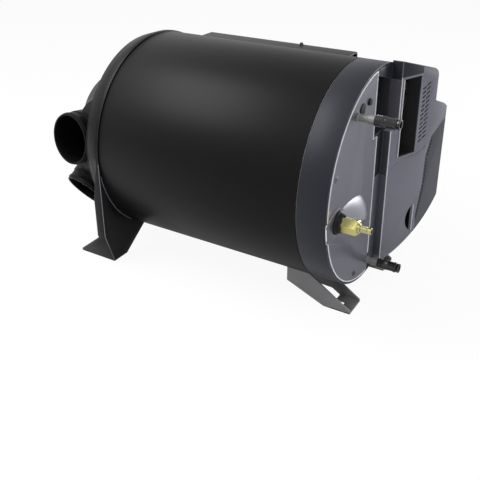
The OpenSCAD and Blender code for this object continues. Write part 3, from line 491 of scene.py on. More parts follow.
def round_box(low: Pair, high: Pair, radius: float, steps: int = 4) -> list[Pair]:
    """Gives the outline of a rectangle with round corners.

    Args:
        low: its lower corner in millimetres.
        high: its upper corner.
        radius: radius of the corners.
        steps: steps round each corner.

    Returns:
        The points of the outline.
    """
    out: list[Pair] = []
    for cx, cy, first in ((high[0] - radius, high[1] - radius, 0), (low[0] + radius, high[1] - radius, 90),
                          (low[0] + radius, low[1] + radius, 180), (high[0] - radius, low[1] + radius, 270)):
        out += arc((cx, cy), radius, first, first + 90, steps)
    return out


def wound(outline: Sequence[Pair], forward: bool) -> list[Pair]:
    """Gives an outline wound to the left, or to the right for a hole."""
    area = sum(a[0] * b[1] - b[0] * a[1] for a, b in zip(outline, list(outline[1:]) + [outline[0]]))
    return list(outline) if (area > 0) == forward else list(outline)[::-1]


def plate(bm: Mesh, outlines: Sequence[Sequence[Pair]], place: Matrix, depth: float, soft: float) -> None:
    """Adds a flat plate with rounded rims.

    Args:
        bm: the mesh that grows.
        outlines: the outline in millimetres, then its holes.
        place: where the plate lies.
        depth: thickness in millimetres.
        soft: radius of the rims in millimetres.
    """
    curve = bpy.data.curves.new("outline", "CURVE")
    curve.dimensions = "2D"
    curve.fill_mode = "BOTH"
    curve.extrude = max(depth / 2.0 - soft, 0.0) * MM
    curve.bevel_depth = soft * MM
    curve.bevel_resolution = 1
    curve.offset = -soft * MM
    for index, outline in enumerate(outlines):
        spline = curve.splines.new("POLY")
        spline.points.add(len(outline) - 1)
        spline.use_cyclic_u = True
        for p, (u, v) in zip(spline.points, wound(outline, index == 0)):
            p.co = (u * MM, v * MM, 0.0, 1.0)
    holder = bpy.data.objects.new("outline", curve)
    mesh = holder.to_mesh()
    mesh.transform(Matrix.Translation((0.0, 0.0, depth / 2.0 * MM)))
    mesh.transform(place)
    bm.from_mesh(mesh)
    holder.to_mesh_clear()
    bpy.data.objects.remove(holder)
    bpy.data.curves.remove(curve)
    bmesh.ops.remove_doubles(bm, verts=bm.verts, dist=PLATE_GAP)


def round_edges(bm: Mesh, angle: float, width: float) -> None:
    """Rounds the edges of a mesh that turn by more than an angle.

    Args:
        bm: the mesh that is changed.
        angle: the angle in degrees.
        width: width of the rounding in millimetres.
    """
    crisp = [e for e in bm.edges if len(e.link_faces) == 2 and e.calc_face_angle(0.0) > math.radians(angle)]
    bmesh.ops.bevel(bm, geom=crisp, offset=width * MM, offset_type="OFFSET", segments=2, profile=0.5,
                    affect="EDGES", clamp_overlap=True)


def softened(node: str, width: float, sharp: float = SHARP_ANGLE,
             ease: Callable[[Vector], Vector] | None = None) -> bpy.types.Object:
    """Copies a node's shape and rounds its corners.

    Args:
        node: name of the CAD node.
        width: width of the rounding in millimetres.
        sharp: angle in degrees from which an edge stays sharp.
        ease: gives each corner its place in the copy.

    Returns:
        The new piece, which lies where the node is.
    """
    bm = bmesh.new()
    bm.from_mesh(frame["nodes"][node].data)
    bmesh.ops.remove_doubles(bm, verts=bm.verts, dist=NODE_GAP)
    for vert in bm.verts if ease else ():
        vert.co = ease(vert.co)
    bmesh.ops.dissolve_limit(bm, angle_limit=math.radians(FLAT_ANGLE), use_dissolve_boundaries=False,
                             verts=bm.verts, edges=bm.edges)
    round_edges(bm, CORNER_ANGLE, width)
    return publish(node + "_shape", bm, sharp)


# Sub-assemblies


@dataclass
class SubAssembly:
    """Pieces of the heater that are built and dressed together."""

    body: str = "heater"

    def settle(self, piece: bpy.types.Object, finish: str, *nodes: str, body: str = "") -> None:
        """Gives a piece its finish and its body.

        Args:
            piece: the new piece.
            finish: name of the finish, which is a slot of the record or a variant of one.
            nodes: the CAD nodes that it stands for.
            body: the body that carries it, if it isn't this sub-assembly's own.
        """
        piece.data.materials.clear()
        piece.data.materials.append(FINISHES[finish].material())
        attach(piece, body or self.body)
        if nodes:
            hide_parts(*nodes)
        LOG.info("%s: %s, %d faces", type(self).__name__, piece.name, len(piece.data.polygons))

    def sheet(self, name: str, finish: str, outlines: Sequence[Sequence[Pair]], place: Matrix, depth: float,
              soft: float) -> None:
        """Builds a piece that is one flat plate.

        Args:
            name: name of the piece.
            finish: name of its finish.
            outlines: the outline in millimetres, then its holes.
            place: where the plate lies.
            depth: thickness in millimetres.
            soft: radius of the rims in millimetres.
        """
        bm = bmesh.new()
        plate(bm, outlines, place, depth, soft)
        self.settle(publish(name, bm), finish)

    def round_off(self, finish: str, width: float, *nodes: str, body: str = "") -> None:
        """Replaces nodes by copies with rounded corners."""
        for node in nodes:
            self.settle(softened(node, width), finish, node, body=body)

    def build(self) -> None:
        """Builds and dresses the pieces."""
        raise NotImplementedError


@dataclass
class Drum(SubAssembly):
    """The rolled jacket with its lock seam."""

    left: float = 38.3
    right: float = 325.7
    radius: float = 140.0
    sheet_depth: float = 1.5
    curl: float = 0.7
    curl_bend: float = 0.3
    steps: int = 256
    round_angle: float = 60.0
    seam_angle: float = -48.0
    seam_width: float = 9.0
    seam_rise: float = 0.9
    seam_inset: float = 1.5
    seam_fold: tuple[float, ...] = (-0.2, 0.55, 0.9, 1.0, 1.0, 0.35, 0.55, 0.5, -0.2)

    def build(self) -> None:
        """Builds the skin and its seam."""
        self.skin()
        self.lock_seam()

    def skin(self) -> None:
        """Builds the jacket with curled ends."""
        r, c = self.radius, self.curl
        bend = self.curl_bend * c
        profile = [(self.left, r - self.sheet_depth), (self.left, r - c), (self.left + bend, r - bend),
                   (self.left + c, r), (self.right - c, r), (self.right - bend, r - bend),
                   (self.right, r - c), (self.right, r - self.sheet_depth)]
        bm = bmesh.new()
        turn(bm, profile, point(0, 0, 0), steps=self.steps)
        self.settle(publish("jacket_shape", bm, self.round_angle), "jacket_skin", "jacket")

    def lock_seam(self) -> None:
        """Builds the folded seam that closes the jacket at the lower rear."""
        half = math.degrees(self.seam_width / 2 / self.radius)
        ring: list[Pair] = []
        for i, h in enumerate(self.seam_fold):
            a = math.radians(self.seam_angle - half + 2 * half * i / (len(self.seam_fold) - 1))
            reach = self.radius + h * self.seam_rise
            ring.append((reach * math.cos(a), reach * math.sin(a)))
        bm = bmesh.new()
        ends = (self.left + self.seam_inset, self.right - self.seam_inset)
        loft(bm, [[point(x, y, z) for y, z in ring] for x in ends])
        self.settle(publish("jacket_lock_seam", bm), "jacket_skin")


@dataclass
class LeftCradle(SubAssembly):
    """The moulded band with its two legs."""

    rounding: float = 0.8
    edge_x: float = 37.3
    leg_top: float = -6.0
    leg_face: float = 141.3
    knee: float = -115.0
    foot_face: float = 127.3
    foot_z: float = -158.0
    edge_bead: float = 0.45
    lip_radius: float = 140.8
    lip_span: Pair = (190.0, 232.0)
    lip_steps: int = 24

    def build(self) -> None:
        """Builds the cradle with rounded corners and pale beads on the edges of its legs: painted highlights.
        """
        self.round_off("cradle_plastic", self.rounding, "left_cradle")
        self.leg_edges()

    def leg_edges(self) -> None:
        """Builds pale beads along the folded edges down the legs and round the lip: painted highlights on
        those edges.
        """
        bm = bmesh.new()
        for side in (-1.0, 1.0):
            line = [(self.leg_face, self.leg_top), (self.leg_face, self.knee), (self.foot_face, self.foot_z)]
            bead(bm, [point(self.edge_x, side * y, z) for y, z in line], self.edge_bead)
            lip = arc((0, 0), self.lip_radius, *self.lip_span, self.lip_steps)
            bead(bm, [point(self.edge_x, -side * y, z) for y, z in lip], self.edge_bead)
        self.settle(publish("leg_edges", bm, TRIM_ANGLE), "leg_painted_highlight")


def screw_head(bm: Mesh, seat: Vector, axis: Vector, radius: float, height: float) -> None:
    """Adds a pan head with a cross recess.

    Args:
        bm: the mesh that grows.
        seat: middle of the head's seat in metres.
        axis: direction that the head faces.
        radius: radius of the head in millimetres.
        height: height of the head in millimetres.
    """
    cross, floor = radius * CROSS_SHARE, height * CROSS_FLOOR
    profile: list[tuple[float, ...]] = [(height * a, radius * r) for a, r in PAN_HEAD]
    profile += [(height, cross * 1.05, CROSS_SWING), (floor, cross * 0.8, CROSS_SWING), (floor, 0)]
    turn(bm, profile, seat, axis, SCREW_STEPS)


@dataclass
class AirEnd(SubAssembly):
    """The manifold, the four outlets and the fan's motor at the left end."""

    rounding: float = 0.6
    outlet_rounding: float = 0.5
    screw_circle: float = 128.0
    screw_count: int = 8
    screw_radius: float = 4.2
    nose_x: float = -58.0
    shoulder_x: float = -12.0
    flange_x: float = 13.0
    shoulder_inside: float = 60.0
    shoulder_back: float = 16.0
    shoulder_drop: float = 8.0
    shoulder_rise: Pair = (24.0, 42.0)
    soft_angle: float = 62.0

    def build(self) -> None:
        """Builds the air end's pieces."""
        self.settle(softened("air_manifold", self.rounding, sharp=self.soft_angle, ease=self.ease_shoulder),
                    "cradle_plastic", "air_manifold")
        self.round_off("outlet_plastic", self.outlet_rounding, "outlet_front_upper", "outlet_front_lower",
                       "outlet_rear_upper", "outlet_rear_lower")
        self.screws()
        self.round_off("motor_paint", self.rounding, "circulation_motor")

    def ease_shoulder(self, spot: Vector) -> Vector:
        """Draws the manifold's shoulder back over the outlets, where the cover falls away to its nose.

        Args:
            spot: a corner of the manifold in metres.

        Returns:
            Where the corner lies in the copy.
        """
        x, y, z = spot.x / MM, spot.y / MM, spot.z / MM - AXIS_HEIGHT
        reach = math.hypot(y, z)
        end = self.nose_x if x <= self.shoulder_x else self.flange_x
        near = (x - end) / (self.shoulder_x - end)
        if near <= 0.0 or reach < self.shoulder_inside:
            return spot
        low, high = self.shoulder_rise
        t = min(1.0, max(0.0, (math.degrees(math.atan2(z, abs(y))) - low) / (high - low)))
        share = near * t * t * (3.0 - 2.0 * t)
        gain = 1.0 - self.shoulder_drop * share / reach
        return point(x + self.shoulder_back * share, y * gain, z * gain)

    def screws(self) -> None:
        """Builds the screws round the manifold's flange."""
        low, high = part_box("manifold_screws")
        bm = bmesh.new()
        for i in range(self.screw_count):
            a = 2 * math.pi * (i + 0.5) / self.screw_count
            seat = point(0, self.screw_circle * math.cos(a), self.screw_circle * math.sin(a))
            seat.x = high[0]
            screw_head(bm, seat, -ALONG, self.screw_radius, (high[0] - low[0]) / MM)
        self.settle(publish("manifold_screw_heads", bm), "bright_steel", "manifold_screws")


@dataclass
class RightEnd(SubAssembly):
    """The cap, the end plate with its rim and embossing, and the wiring channel.

    A film or sheet is a thickness and the radius of its rims.
    """

    rounding: float = 0.5
    cap_rounding: float = 0.7
    seal_rounding: float = 0.4
    face: float = 363.5
    rim_radius: float = 136.2
    rim_bead: float = 0.8
    rim_end: float = 268.0
    tab_radius: float = 139.3
    tab_span: Pair = (183.0, 193.0)
    tab_gap: float = 0.4
    seam_y: float = -0.6
    seam_foot: float = -111.0
    pocket_front: float = -12.6
    pocket_foot: float = 51.4
    channel_face: float = 362.5
    film: Pair = (0.6, 0.2)
    pad_sheet: Pair = (0.9, 0.4)
    grommet_sheet: Pair = (1.2, 0.4)
    gas: Pair = (-108.0, -17.0)
    gas_ring: float = 15.2
    screw_radius: float = 4.6
    press_angle: float = 15.0
    scoop_steps: int = 10
    scoop_fullness: float = 0.75
    scoop_ridge: tuple[Pair, Pair] = ((-98.0, -17.0), (-34.0, -44.0))
    scoop_heel: tuple[Pair, Pair] = ((-97.0, -22.0), (-34.0, -52.0))
    scoop_sunk: float = 0.3
    scoop_angle: float = 50.0
    boot_sunk: float = 0.2

    def build(self) -> None:
        """Builds the right end's pieces."""
        self.round_off("cap_plastic", self.cap_rounding, "right_cap")
        self.settle(softened("end_plate", self.rounding, self.press_angle), "plate_metal", "end_plate")
        self.round_off("channel_plastic", self.rounding, "cable_channel")
        self.round_off("seal_rubber", self.seal_rounding, "gas_flange")
        self.round_off("seal_rubber", self.rounding, "reset_button", body="reset")
        self.rim()
        self.pad()
        self.scoop()
        self.boot()
        self.grommet()
        self.floor()
        self.lintel()
        self.screws()

    def lay(self, x: float) -> Matrix:
        """Gives the matrix that lays an outline square to the drum at a station."""
        return facing(point(x, 0, 0), REARWARD, UPWARD, ALONG)

    def rim(self) -> None:
        """Builds a near-white bead along the plate's folded rim, up its straight edge and round its arc: a
        painted highlight on the rim.
        """
        top = math.degrees(math.acos(self.pocket_front / self.rim_radius))
        first, last = self.tab_span
        line = [(self.seam_y, self.seam_foot), (self.seam_y, self.pocket_foot),
                (self.pocket_front, self.pocket_foot)]
        for radius, start, end, steps in ((self.rim_radius, top, first - self.tab_gap, 100),
                                          (self.tab_radius, first, last, 12),
                                          (self.rim_radius, last + self.tab_gap, self.rim_end, 70)):
            line += arc((0, 0), radius, start, end, steps)
        bm = bmesh.new()
        bead(bm, [point(self.face, y, z) for y, z in line], self.rim_bead)
        # The bead's near-white finish is a painted highlight on the rim.
        self.settle(publish("plate_rim", bm, TRIM_ANGLE), "rim_painted_highlight")

    def pad(self) -> None:
        """Builds the raised field round the gas inlet."""
        side = arc((0, 0), self.tab_radius, *self.tab_span, 4)
        rest = [(-111, -44), (-85, -54), (-64, -58.5), (-50, -58), (-39, -52), (-33, -42), (-37, -33),
                (-60, -25), (-80, -14), (-97, -4), (-110, 2), (-124, 1)]
        hole = arc(self.gas, self.gas_ring, 0, 345, 23)
        self.sheet("plate_pad", "plate_metal", [curved(side + rest), hole], self.lay(self.face),
                   *self.pad_sheet)

    def scoop(self) -> None:
        """Builds the smooth hood that widens away from the gas inlet, with its ridge low, in a finish paler
        than the plate's: a painted highlight.
        """
        brow = [(-102.0, -6.0), (-90.0, -4.0), (-78.0, -3.5), (-66.0, -4.5), (-54.0, -6.5), (-43.0, -9.5),
                (-34.0, -14.5), (-27.0, -24.0), (-24.0, -35.5), (-25.0, -46.0)]
        heights = (3.0, 4.2, 5.6, 7.0, 8.4, 9.6, 10.4, 10.4, 8.8, 5.0)
        lines = (self.scoop_ridge, self.scoop_heel)
        sections = []
        for k, (edge, height) in enumerate(zip(brow, heights)):
            t = k / (len(brow) - 1)
            ridge, heel = (Vector(near).lerp(Vector(far), t) for near, far in lines)
            ring = [point(self.face - self.scoop_sunk, *heel)]
            for i in range(self.scoop_steps + 1):
                u = i / self.scoop_steps
                swell = max(0.0, math.cos(u * math.pi / 2)) ** self.scoop_fullness
                ring.append(point(self.face - self.scoop_sunk + height * swell, *ridge.lerp(Vector(edge), u)))
            sections.append(ring)
        bm = bmesh.new()
        loft(bm, sections)
        # The scoop's paler finish is a painted highlight.
        self.settle(publish("plate_scoop", bm, self.scoop_angle), "scoop_painted_highlight")

    def boot(self) -> None:
        """Builds the rubber boot at the root of the gas inlet."""
        profile = [(0.0, 9.9), (0.0, 13.2), (1.6, 13.0), (2.6, 11.9), (6.2, 11.2), (7.2, 10.8), (7.4, 9.9)]
        bm = bmesh.new()
        turn(bm, profile, point(self.face - self.boot_sunk, *self.gas))
        self.settle(publish("gas_boot", bm), "seal_rubber")

    def grommet(self) -> None:
        """Builds the rubber grommet beside the upper water pipe."""
        edge = curved([(-61.0, 104.0), (-52.0, 108.5), (-47.0, 104.0), (-50.0, 95.0), (-58.0, 93.0)])
        self.sheet("plate_grommet", "seal_rubber", [edge], self.lay(self.face), *self.grommet_sheet)

    def floor(self) -> None:
        """Builds the paler floor of the channel's lower stretch."""
        edge = [(4.5, -125.0), (4.5, -112.0), (0.8, -108.0), (0.8, -6.0), (21.2, -6.0), (23.2, -8.0),
                (23.2, -128.0)]
        self.sheet("channel_floor", "channel_floor", [edge], self.lay(self.channel_face), *self.film)

    def lintel(self) -> None:
        """Builds the cap's sloping face over the wiring pocket."""
        edge = [(-11.6, 130.2), (35.8, 115.1)] + arc((0, 0), 136.4, 74.8, 94.9, 10)
        self.sheet("pocket_lintel", "cap_plastic", [edge], self.lay(self.channel_face), *self.film)

    def screws(self) -> None:
        """Builds the plate's two screws, the upper one in the plate's own finish."""
        low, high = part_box("plate_screws")
        for name, y, z, finish, nodes in (("lower", -45.0, -119.0, "motor_paint", ["plate_screws"]),
                                          ("upper", -118.0, 40.0, "plate_metal", [])):
            seat = point(0, y, z)
            seat.x = low[0]
            bm = bmesh.new()
            screw_head(bm, seat, ALONG, self.screw_radius, (high[0] - low[0]) / MM)
            self.settle(publish("plate_screw_" + name, bm), finish, *nodes)


@dataclass
class GasInlet(SubAssembly):
    """The brass inlet: a chamfered hexagon with a threaded tube end."""

    y: float = -108.0
    z: float = -17.0
    start: float = 362.5
    shoulder: float = 389.5
    end: float = 404.5
    corner_radius: float = 9.81
    root_chamfer: Pair = (1.1, 0.90)
    end_chamfer: Pair = (1.4, 0.86)
    sharp_angle: float = 30.0
    crisp_angle: float = 17.0
    crisp_width: float = 0.3
    tube_radius: float = 4.0
    bore: float = 2.7
    pitch: float = 1.1
    thread_start: float = 2.8
    thread_depth: float = 0.35
    plain_end: float = 5.0

    def build(self) -> None:
        """Builds the hexagon and its tube end."""
        bm = bmesh.new()
        self.hexagon(bm)
        self.tube(bm)
        self.settle(publish("gas_inlet_shape", bm, self.sharp_angle), "brass", "gas_inlet")

    def hexagon(self, bm: Mesh) -> None:
        """Adds the chamfered hexagon.

        Args:
            bm: the mesh that grows.
        """
        r, length = self.corner_radius, self.shoulder - self.start
        (rise, root), (fall, end) = self.root_chamfer, self.end_chamfer
        profile = [(0, 0), (0, r * root), (rise, r), (length - fall, r), (length, r * end), (length, 0)]
        turn(bm, profile, point(self.start, self.y, self.z), steps=6)
        round_edges(bm, self.crisp_angle, self.crisp_width)

    def tube(self, bm: Mesh) -> None:
        """Adds the collar, the thread and the open tube end.

        Args:
            bm: the mesh that grows.
        """
        r, length = self.tube_radius, self.end - self.shoulder
        profile = [(-1.0, 0.0), (-1.0, r + 1.7), (1.4, r + 1.7), (2.0, r + 1.1), (2.2, r - 0.4)]
        station = self.thread_start
        while station < length - self.plain_end:
            profile += [(station, r - self.thread_depth), (station + self.pitch / 2, r)]
            station += self.pitch
        profile += [(length - 4.6, r - 0.4), (length - 4.0, r), (length - 0.6, r), (length, r - 0.5),
                    (length, self.bore), (3.0, self.bore), (3.0, 0)]
        turn(bm, profile, point(self.shoulder, self.y, self.z))


@dataclass
class WaterJoint(SubAssembly):
    """A push-fit joint on a water pipe: sleeve, ribbed fitting and release collet."""

    name: str = "hot"
    y: float = -68.0
    z: float = 97.0
    plate_x: float = 363.5
    start: float = 379.5
    length: float = 30.0
    collar: float = 6.6
    waist: float = 6.0
    bore: float = 5.55
    pipe_bore: float = 4.15
    sleeve_bore: float = 4.05
    sleeve: float = 4.8
    groove: float = 0.4
    seat: float = 14.0
    neck: float = 5.0
    rounding: float = 0.35
    rib_count: int = 3
    rib_start: float = 2.0
    rib_pitch: float = 2.3
    rib_depth: float = 0.45

    def build(self) -> None:
        """Builds the joint's pieces."""
        self.fitting()
        self.stub_sleeve()
        self.round_off("fitting_gloss", self.rounding, self.name + "_collet", body=self.name + "_release")

    def fitting(self) -> None:
        """Builds the fitting with its ribbed collars."""
        c, w, n, end = self.collar, self.waist, self.neck, self.length
        step = 2 * end / 3
        profile = [(0.0, self.pipe_bore), (0.0, self.sleeve), (n, self.sleeve), (n, c - 0.6), (n + 0.6, c)]
        for i in range(self.rib_count):
            rib, low = n + self.rib_start + self.rib_pitch * i, c - self.rib_depth
            profile += [(rib, c), (rib + 0.3, low), (rib + 0.9, low), (rib + 1.2, c)]
        profile += [(step - 3.0, c), (step - 2.4, w + 0.2), (step, w + 0.1), (end - 3.4, w),
                    (end - 3.0, w + 0.6), (end - 0.6, w + 0.6), (end, w + 0.1), (end, self.bore),
                    (self.seat, self.bore), (self.seat, self.pipe_bore)]
        bm = bmesh.new()
        turn(bm, profile, point(self.start, self.y, self.z))
        self.settle(publish(self.name + "_fitting_shape", bm), "fitting_gloss", self.name + "_fitting")

    def stub_sleeve(self) -> None:
        """Builds the pale sleeve on the pipe between the plate and the fitting."""
        r, low = self.sleeve, self.sleeve - self.groove
        span, over = self.start - self.plate_x - 0.6, self.start - self.plate_x + self.neck - 0.3
        profile = [(0, self.sleeve_bore), (0, r), (1.6, r), (2.0, low), (span - 3.0, low),
                   (span - 2.4, r + 0.3), (over - 0.4, r + 0.3), (over, r), (span, r),
                   (span, self.sleeve_bore)]
        bm = bmesh.new()
        turn(bm, profile, point(self.plate_x + 0.3, self.y, self.z))
        self.settle(publish(self.name + "_sleeve", bm), "pipe_steel")


@dataclass
class Electronics(SubAssembly):
    """The wedge-shaped cover with its panel, recess, grille and vents.

    A sheet is a thickness and the radius of its rims.
    """

    rounding: float = 0.8
    rear_rounding: float = 0.7
    socket_rounding: float = 0.3
    face_x: float = 362.0
    slope: float = 0.42
    panel_sheet: Pair = (0.8, 0.35)
    hood_sheet: Pair = (0.6, 0.25)
    strip_sheet: Pair = (0.5, 0.2)
    lip_sheet: Pair = (0.9, 0.35)
    insert_sheet: Pair = (0.6, 0.1)
    bar_sheet: Pair = (0.8, 0.25)
    vent_sheet: Pair = (0.3, 0.05)
    grille_y: float = 81.0
    grille_tilt: float = 30.0
    slot_count: int = 13
    slot_low: float = 28.0
    slot_high: float = 99.0
    slot_half: Pair = (7.7, 1.5)
    slot_depth: float = 0.9
    bar_y: float = 80.4
    bar_half: float = 0.5
    bar_sunk: float = 0.2
    vent_pitch: float = 4.6
    vent_half: Pair = (1.1, 1.6)
    roof_start: float = 137.4
    roof_fall: float = 0.319
    sunk: float = 0.05
    wall_x: float = 363.7
    cheek: Pair = (36.0, 376.6)
    flank: Pair = (24.0, 371.5)
    pin_start: Pair = (368.6, 49.0)
    pin_pitch: float = 3.6
    pin_count: int = 4
    pin_rows: tuple[float, ...] = (78.6, 83.4, 96.6, 101.4)

    def build(self) -> None:
        """Builds the electronics' pieces."""
        self.round_off("cover_plastic", self.rounding, "electronics_cover")
        self.round_off("rear_cover_plastic", self.rear_rounding, "rear_cover")
        self.round_off("well_black_and_slot_shade", self.socket_rounding, "connector_well", "signal_sockets")
        self.panel()
        self.hood()
        self.cheeks()
        self.recess_frame()
        self.bars()
        self.vents()
        self.front_edge()
        self.pins()

    def lay(self, lift: float = 0.0) -> Matrix:
        """Gives the matrix that lays an outline in y and z on the slanted face.

        Args:
            lift: how far it lies outside the face in millimetres.

        Returns:
            The matrix.
        """
        normal = Vector((1.0, -self.slope, 0.0)).normalized()
        return facing(point(self.face_x, 0, 0) + normal * lift * MM, Vector((self.slope, 1, 0)),
                      UPWARD, normal)

    def panel(self) -> None:
        """Builds the shallow raised field below the recess."""
        top = [(26.0, -9.0), (31.4, -1.8), (37.9, 3.4), (46.3, 5.7), (60.5, 7.7), (75.0, 8.6), (84.0, 12.0),
               (90.0, 17.0)]
        seam = [(90.6, 10.0), (89.8, 0.0), (88.9, -40.0), (83.2, -80.0)]
        foot = arc((0, 0), 134.5, -51.0, -79.0, 14)
        slot = arc((88.0, -86.0), 23.4, 119.2, 240.8, 14)
        self.sheet("cover_panel", "cover_plastic", [top + seam + foot, slot], self.lay(-self.sunk),
                   *self.panel_sheet)

    def strip(self, bm: Mesh, wall: Pair, low: float, high: float) -> None:
        """Adds a thin strip on a wall of the cover that faces forward.

        Args:
            bm: the mesh that grows.
            wall: where the wall lies in y, and the x that it ends at.
            low: lower end of the strip.
            high: upper end of the strip.
        """
        y, end = wall
        edge = [(self.wall_x, low), (end, low), (end, high), (self.wall_x, high)]
        plate(bm, [edge], facing(point(0, y, 0), ALONG, UPWARD, -REARWARD), *self.strip_sheet)

    def hood(self) -> None:
        """Builds the hood over the recess, in the cap's colour."""
        band = [(36.3, 117.6), (71.2, 117.6), (71.2, self.roof(71.2)), (36.3, self.roof(36.3))]
        bm = bmesh.new()
        plate(bm, [band], self.lay(-self.sunk), *self.hood_sheet)
        self.strip(bm, self.cheek, 114.8, self.roof(self.cheek[0]))
        self.settle(publish("cover_hood", bm), "cap_plastic")

    def cheeks(self) -> None:
        """Builds the cover's darker cheek and flank beside the wiring pocket and the channel."""
        bm = bmesh.new()
        self.strip(bm, self.cheek, 53.0, 114.4)
        self.strip(bm, self.flank, -127.0, -9.4)
        self.settle(publish("cover_cheek", bm), "cover_cheek")
        bm = bmesh.new()
        self.strip(bm, self.flank, -9.0, 51.4)
        self.settle(publish("cover_flank", bm), "cover_flank")

    def roof(self, y: float) -> float:
        """Gives the height of the housing's falling top edge."""
        return self.roof_start - self.roof_fall * (y - self.cheek[0])

    def recess_frame(self) -> None:
        """Builds the lip round the connector recess."""
        lip = [round_box((38.2, 10.2), (70.6, 116.8), 2.0), round_box((40.2, 12.2), (68.8, 114.8), 1.0)]
        self.sheet("recess_frame", "cover_plastic", lip, self.lay(-self.sunk), *self.lip_sheet)

    def bars(self) -> None:
        """Builds a dark sheet behind the grille's slots, painted shade in the openings, and the upright bar
        that parts them.
        """
        across, tall = self.slot_half
        tilt = math.radians(self.grille_tilt)
        cos, sin = math.cos(tilt), math.sin(tilt)
        corners = ((-across, -tall), (across, -tall), (across, tall), (-across, tall))
        # Dark sheets behind each slot: painted shade inside the openings.
        bm = bmesh.new()
        for i in range(self.slot_count):
            z = self.slot_low + (self.slot_high - self.slot_low) * i / (self.slot_count - 1)
            slot = [(self.grille_y + a * cos - b * sin, z + a * sin + b * cos) for a, b in corners]
            plate(bm, [slot], self.lay(-self.slot_depth - self.insert_sheet[0]), *self.insert_sheet)
        self.settle(publish("grille_slot_painted_shade", bm), "well_black_and_slot_shade")
        low = (self.bar_y - self.bar_half, self.slot_low - 1.0)
        high = (self.bar_y + self.bar_half, self.slot_high + 1.0)
        self.sheet("grille_bars", "cover_plastic", [round_box(low, high, 0.4)],
                   self.lay(-self.slot_depth - self.bar_sunk), *self.bar_sheet)

    def vents(self) -> None:
        """Builds the row of small vents behind the seam as flat dark patches on the face: painted shade for
        the openings.
        """
        line = [(84.0, -96.0), (93.4, -40.0), (94.2, 0.0), (100.5, 23.0)]
        wide, tall = self.vent_half
        bm = bmesh.new()
        for (y0, z0), (y1, z1) in zip(line, line[1:]):
            run = math.hypot(y1 - y0, z1 - z0)
            for i in range(int(run / self.vent_pitch)):
                t = (i + 0.5) * self.vent_pitch / run
                y, z = y0 + (y1 - y0) * t, z0 + (z1 - z0) * t
                vent = round_box((y - wide, z - tall), (y + wide, z + tall), 0.8, 2)
                plate(bm, [vent], self.lay(), *self.vent_sheet)
        # The dark patches are painted shade for the vent openings.
        self.settle(publish("rear_vent_painted_shade", bm), "seal_rubber")

    def front_edge(self) -> None:
        """Builds near-white beads along the cover's front edge, stepped back beside the wiring pocket:
        painted highlights on that edge.
        """
        bm = bmesh.new()
        for y, low, high, radius, lift in ((24.4, -134.0, 51.6, 0.7, 0.0), (36.4, 52.4, 116.8, 0.7, 0.0),
                                           (39.3, 13.0, 114.0, 0.6, 0.8), (77.2, -105.5, -66.5, 0.7, 0.8)):
            x = self.face_x + self.slope * y + lift
            bead(bm, [point(x, y, low), point(x, y, high)], radius)
        self.settle(publish("cover_front_edge", bm, TRIM_ANGLE), "cover_edge_painted_highlight")

    def pins(self) -> None:
        """Builds the contact pins inside the signal sockets."""
        profile = [(0, 0), (0, 0.5), (5.2, 0.5), (6.0, 0.15), (6.0, 0)]
        bm = bmesh.new()
        x, y = self.pin_start
        for z in self.pin_rows:
            for i in range(self.pin_count):
                turn(bm, profile, point(x, y + self.pin_pitch * i, z), steps=12)
        self.settle(publish("socket_pins", bm), "bright_steel")


@dataclass
class Feet(SubAssembly):
    """The two folded sheet-metal feet at the right end."""

    gauge: float = 2.0
    fold: float = 0.35
    outer: float = 75.0
    inner: float = 42.0
    toe_left: float = 346.0
    toe_right: float = 373.5
    bolt: Pair = (355.5, 58.5)
    bolt_radius: float = 3.5

    def build(self) -> None:
        """Builds both feet."""
        for side, name in ((-1.0, "right_foot_front"), (1.0, "right_foot_rear")):
            bm = bmesh.new()
            self.walls(bm, side)
            self.toe(bm, side)
            self.settle(publish(name + "_shape", bm), "foot_steel", name)

    def walls(self, bm: Mesh, side: float) -> None:
        """Adds the outer wall and the inner wall, which end under the drum.

        Args:
            bm: the mesh that grows.
            side: -1 for the front foot, 1 for the rear one.
        """
        outer = [(284.5, 41.4), (284.5, 22.0), (337.5, 0.0), (373.5, 0.0), (373.5, 4.5), (329.0, 33.0),
                 (315.9, 41.4)]
        inner = [(284.5, 26.6), (284.5, 22.0), (313.0, 10.0), (335.0, 9.0), (350.0, 0.0), (373.5, 0.0),
                 (373.5, 4.5), (339.0, 26.6)]
        for outline, y in ((outer, self.outer - self.gauge), (inner, self.inner)):
            start = side * y if side > 0 else side * (y + self.gauge)
            place = facing(point(0, start, -AXIS_HEIGHT), ALONG, UPWARD, REARWARD)
            plate(bm, [outline], place, self.gauge, self.fold)

    def toe(self, bm: Mesh, side: float) -> None:
        """Adds the toe sheet with its bolt hole.

        Args:
            bm: the mesh that grows.
            side: -1 for the front foot, 1 for the rear one.
        """
        near, far = sorted((side * self.inner, side * self.outer))
        edge = [(self.toe_left, near), (self.toe_right, near), (self.toe_right, far), (self.toe_left, far)]
        hole = arc((self.bolt[0], side * self.bolt[1]), self.bolt_radius, 0.0, 345.0, 23)
        place = facing(point(0, 0, -AXIS_HEIGHT), ALONG, REARWARD, UPWARD)
        plate(bm, [edge, hole], place, self.gauge, self.fold)


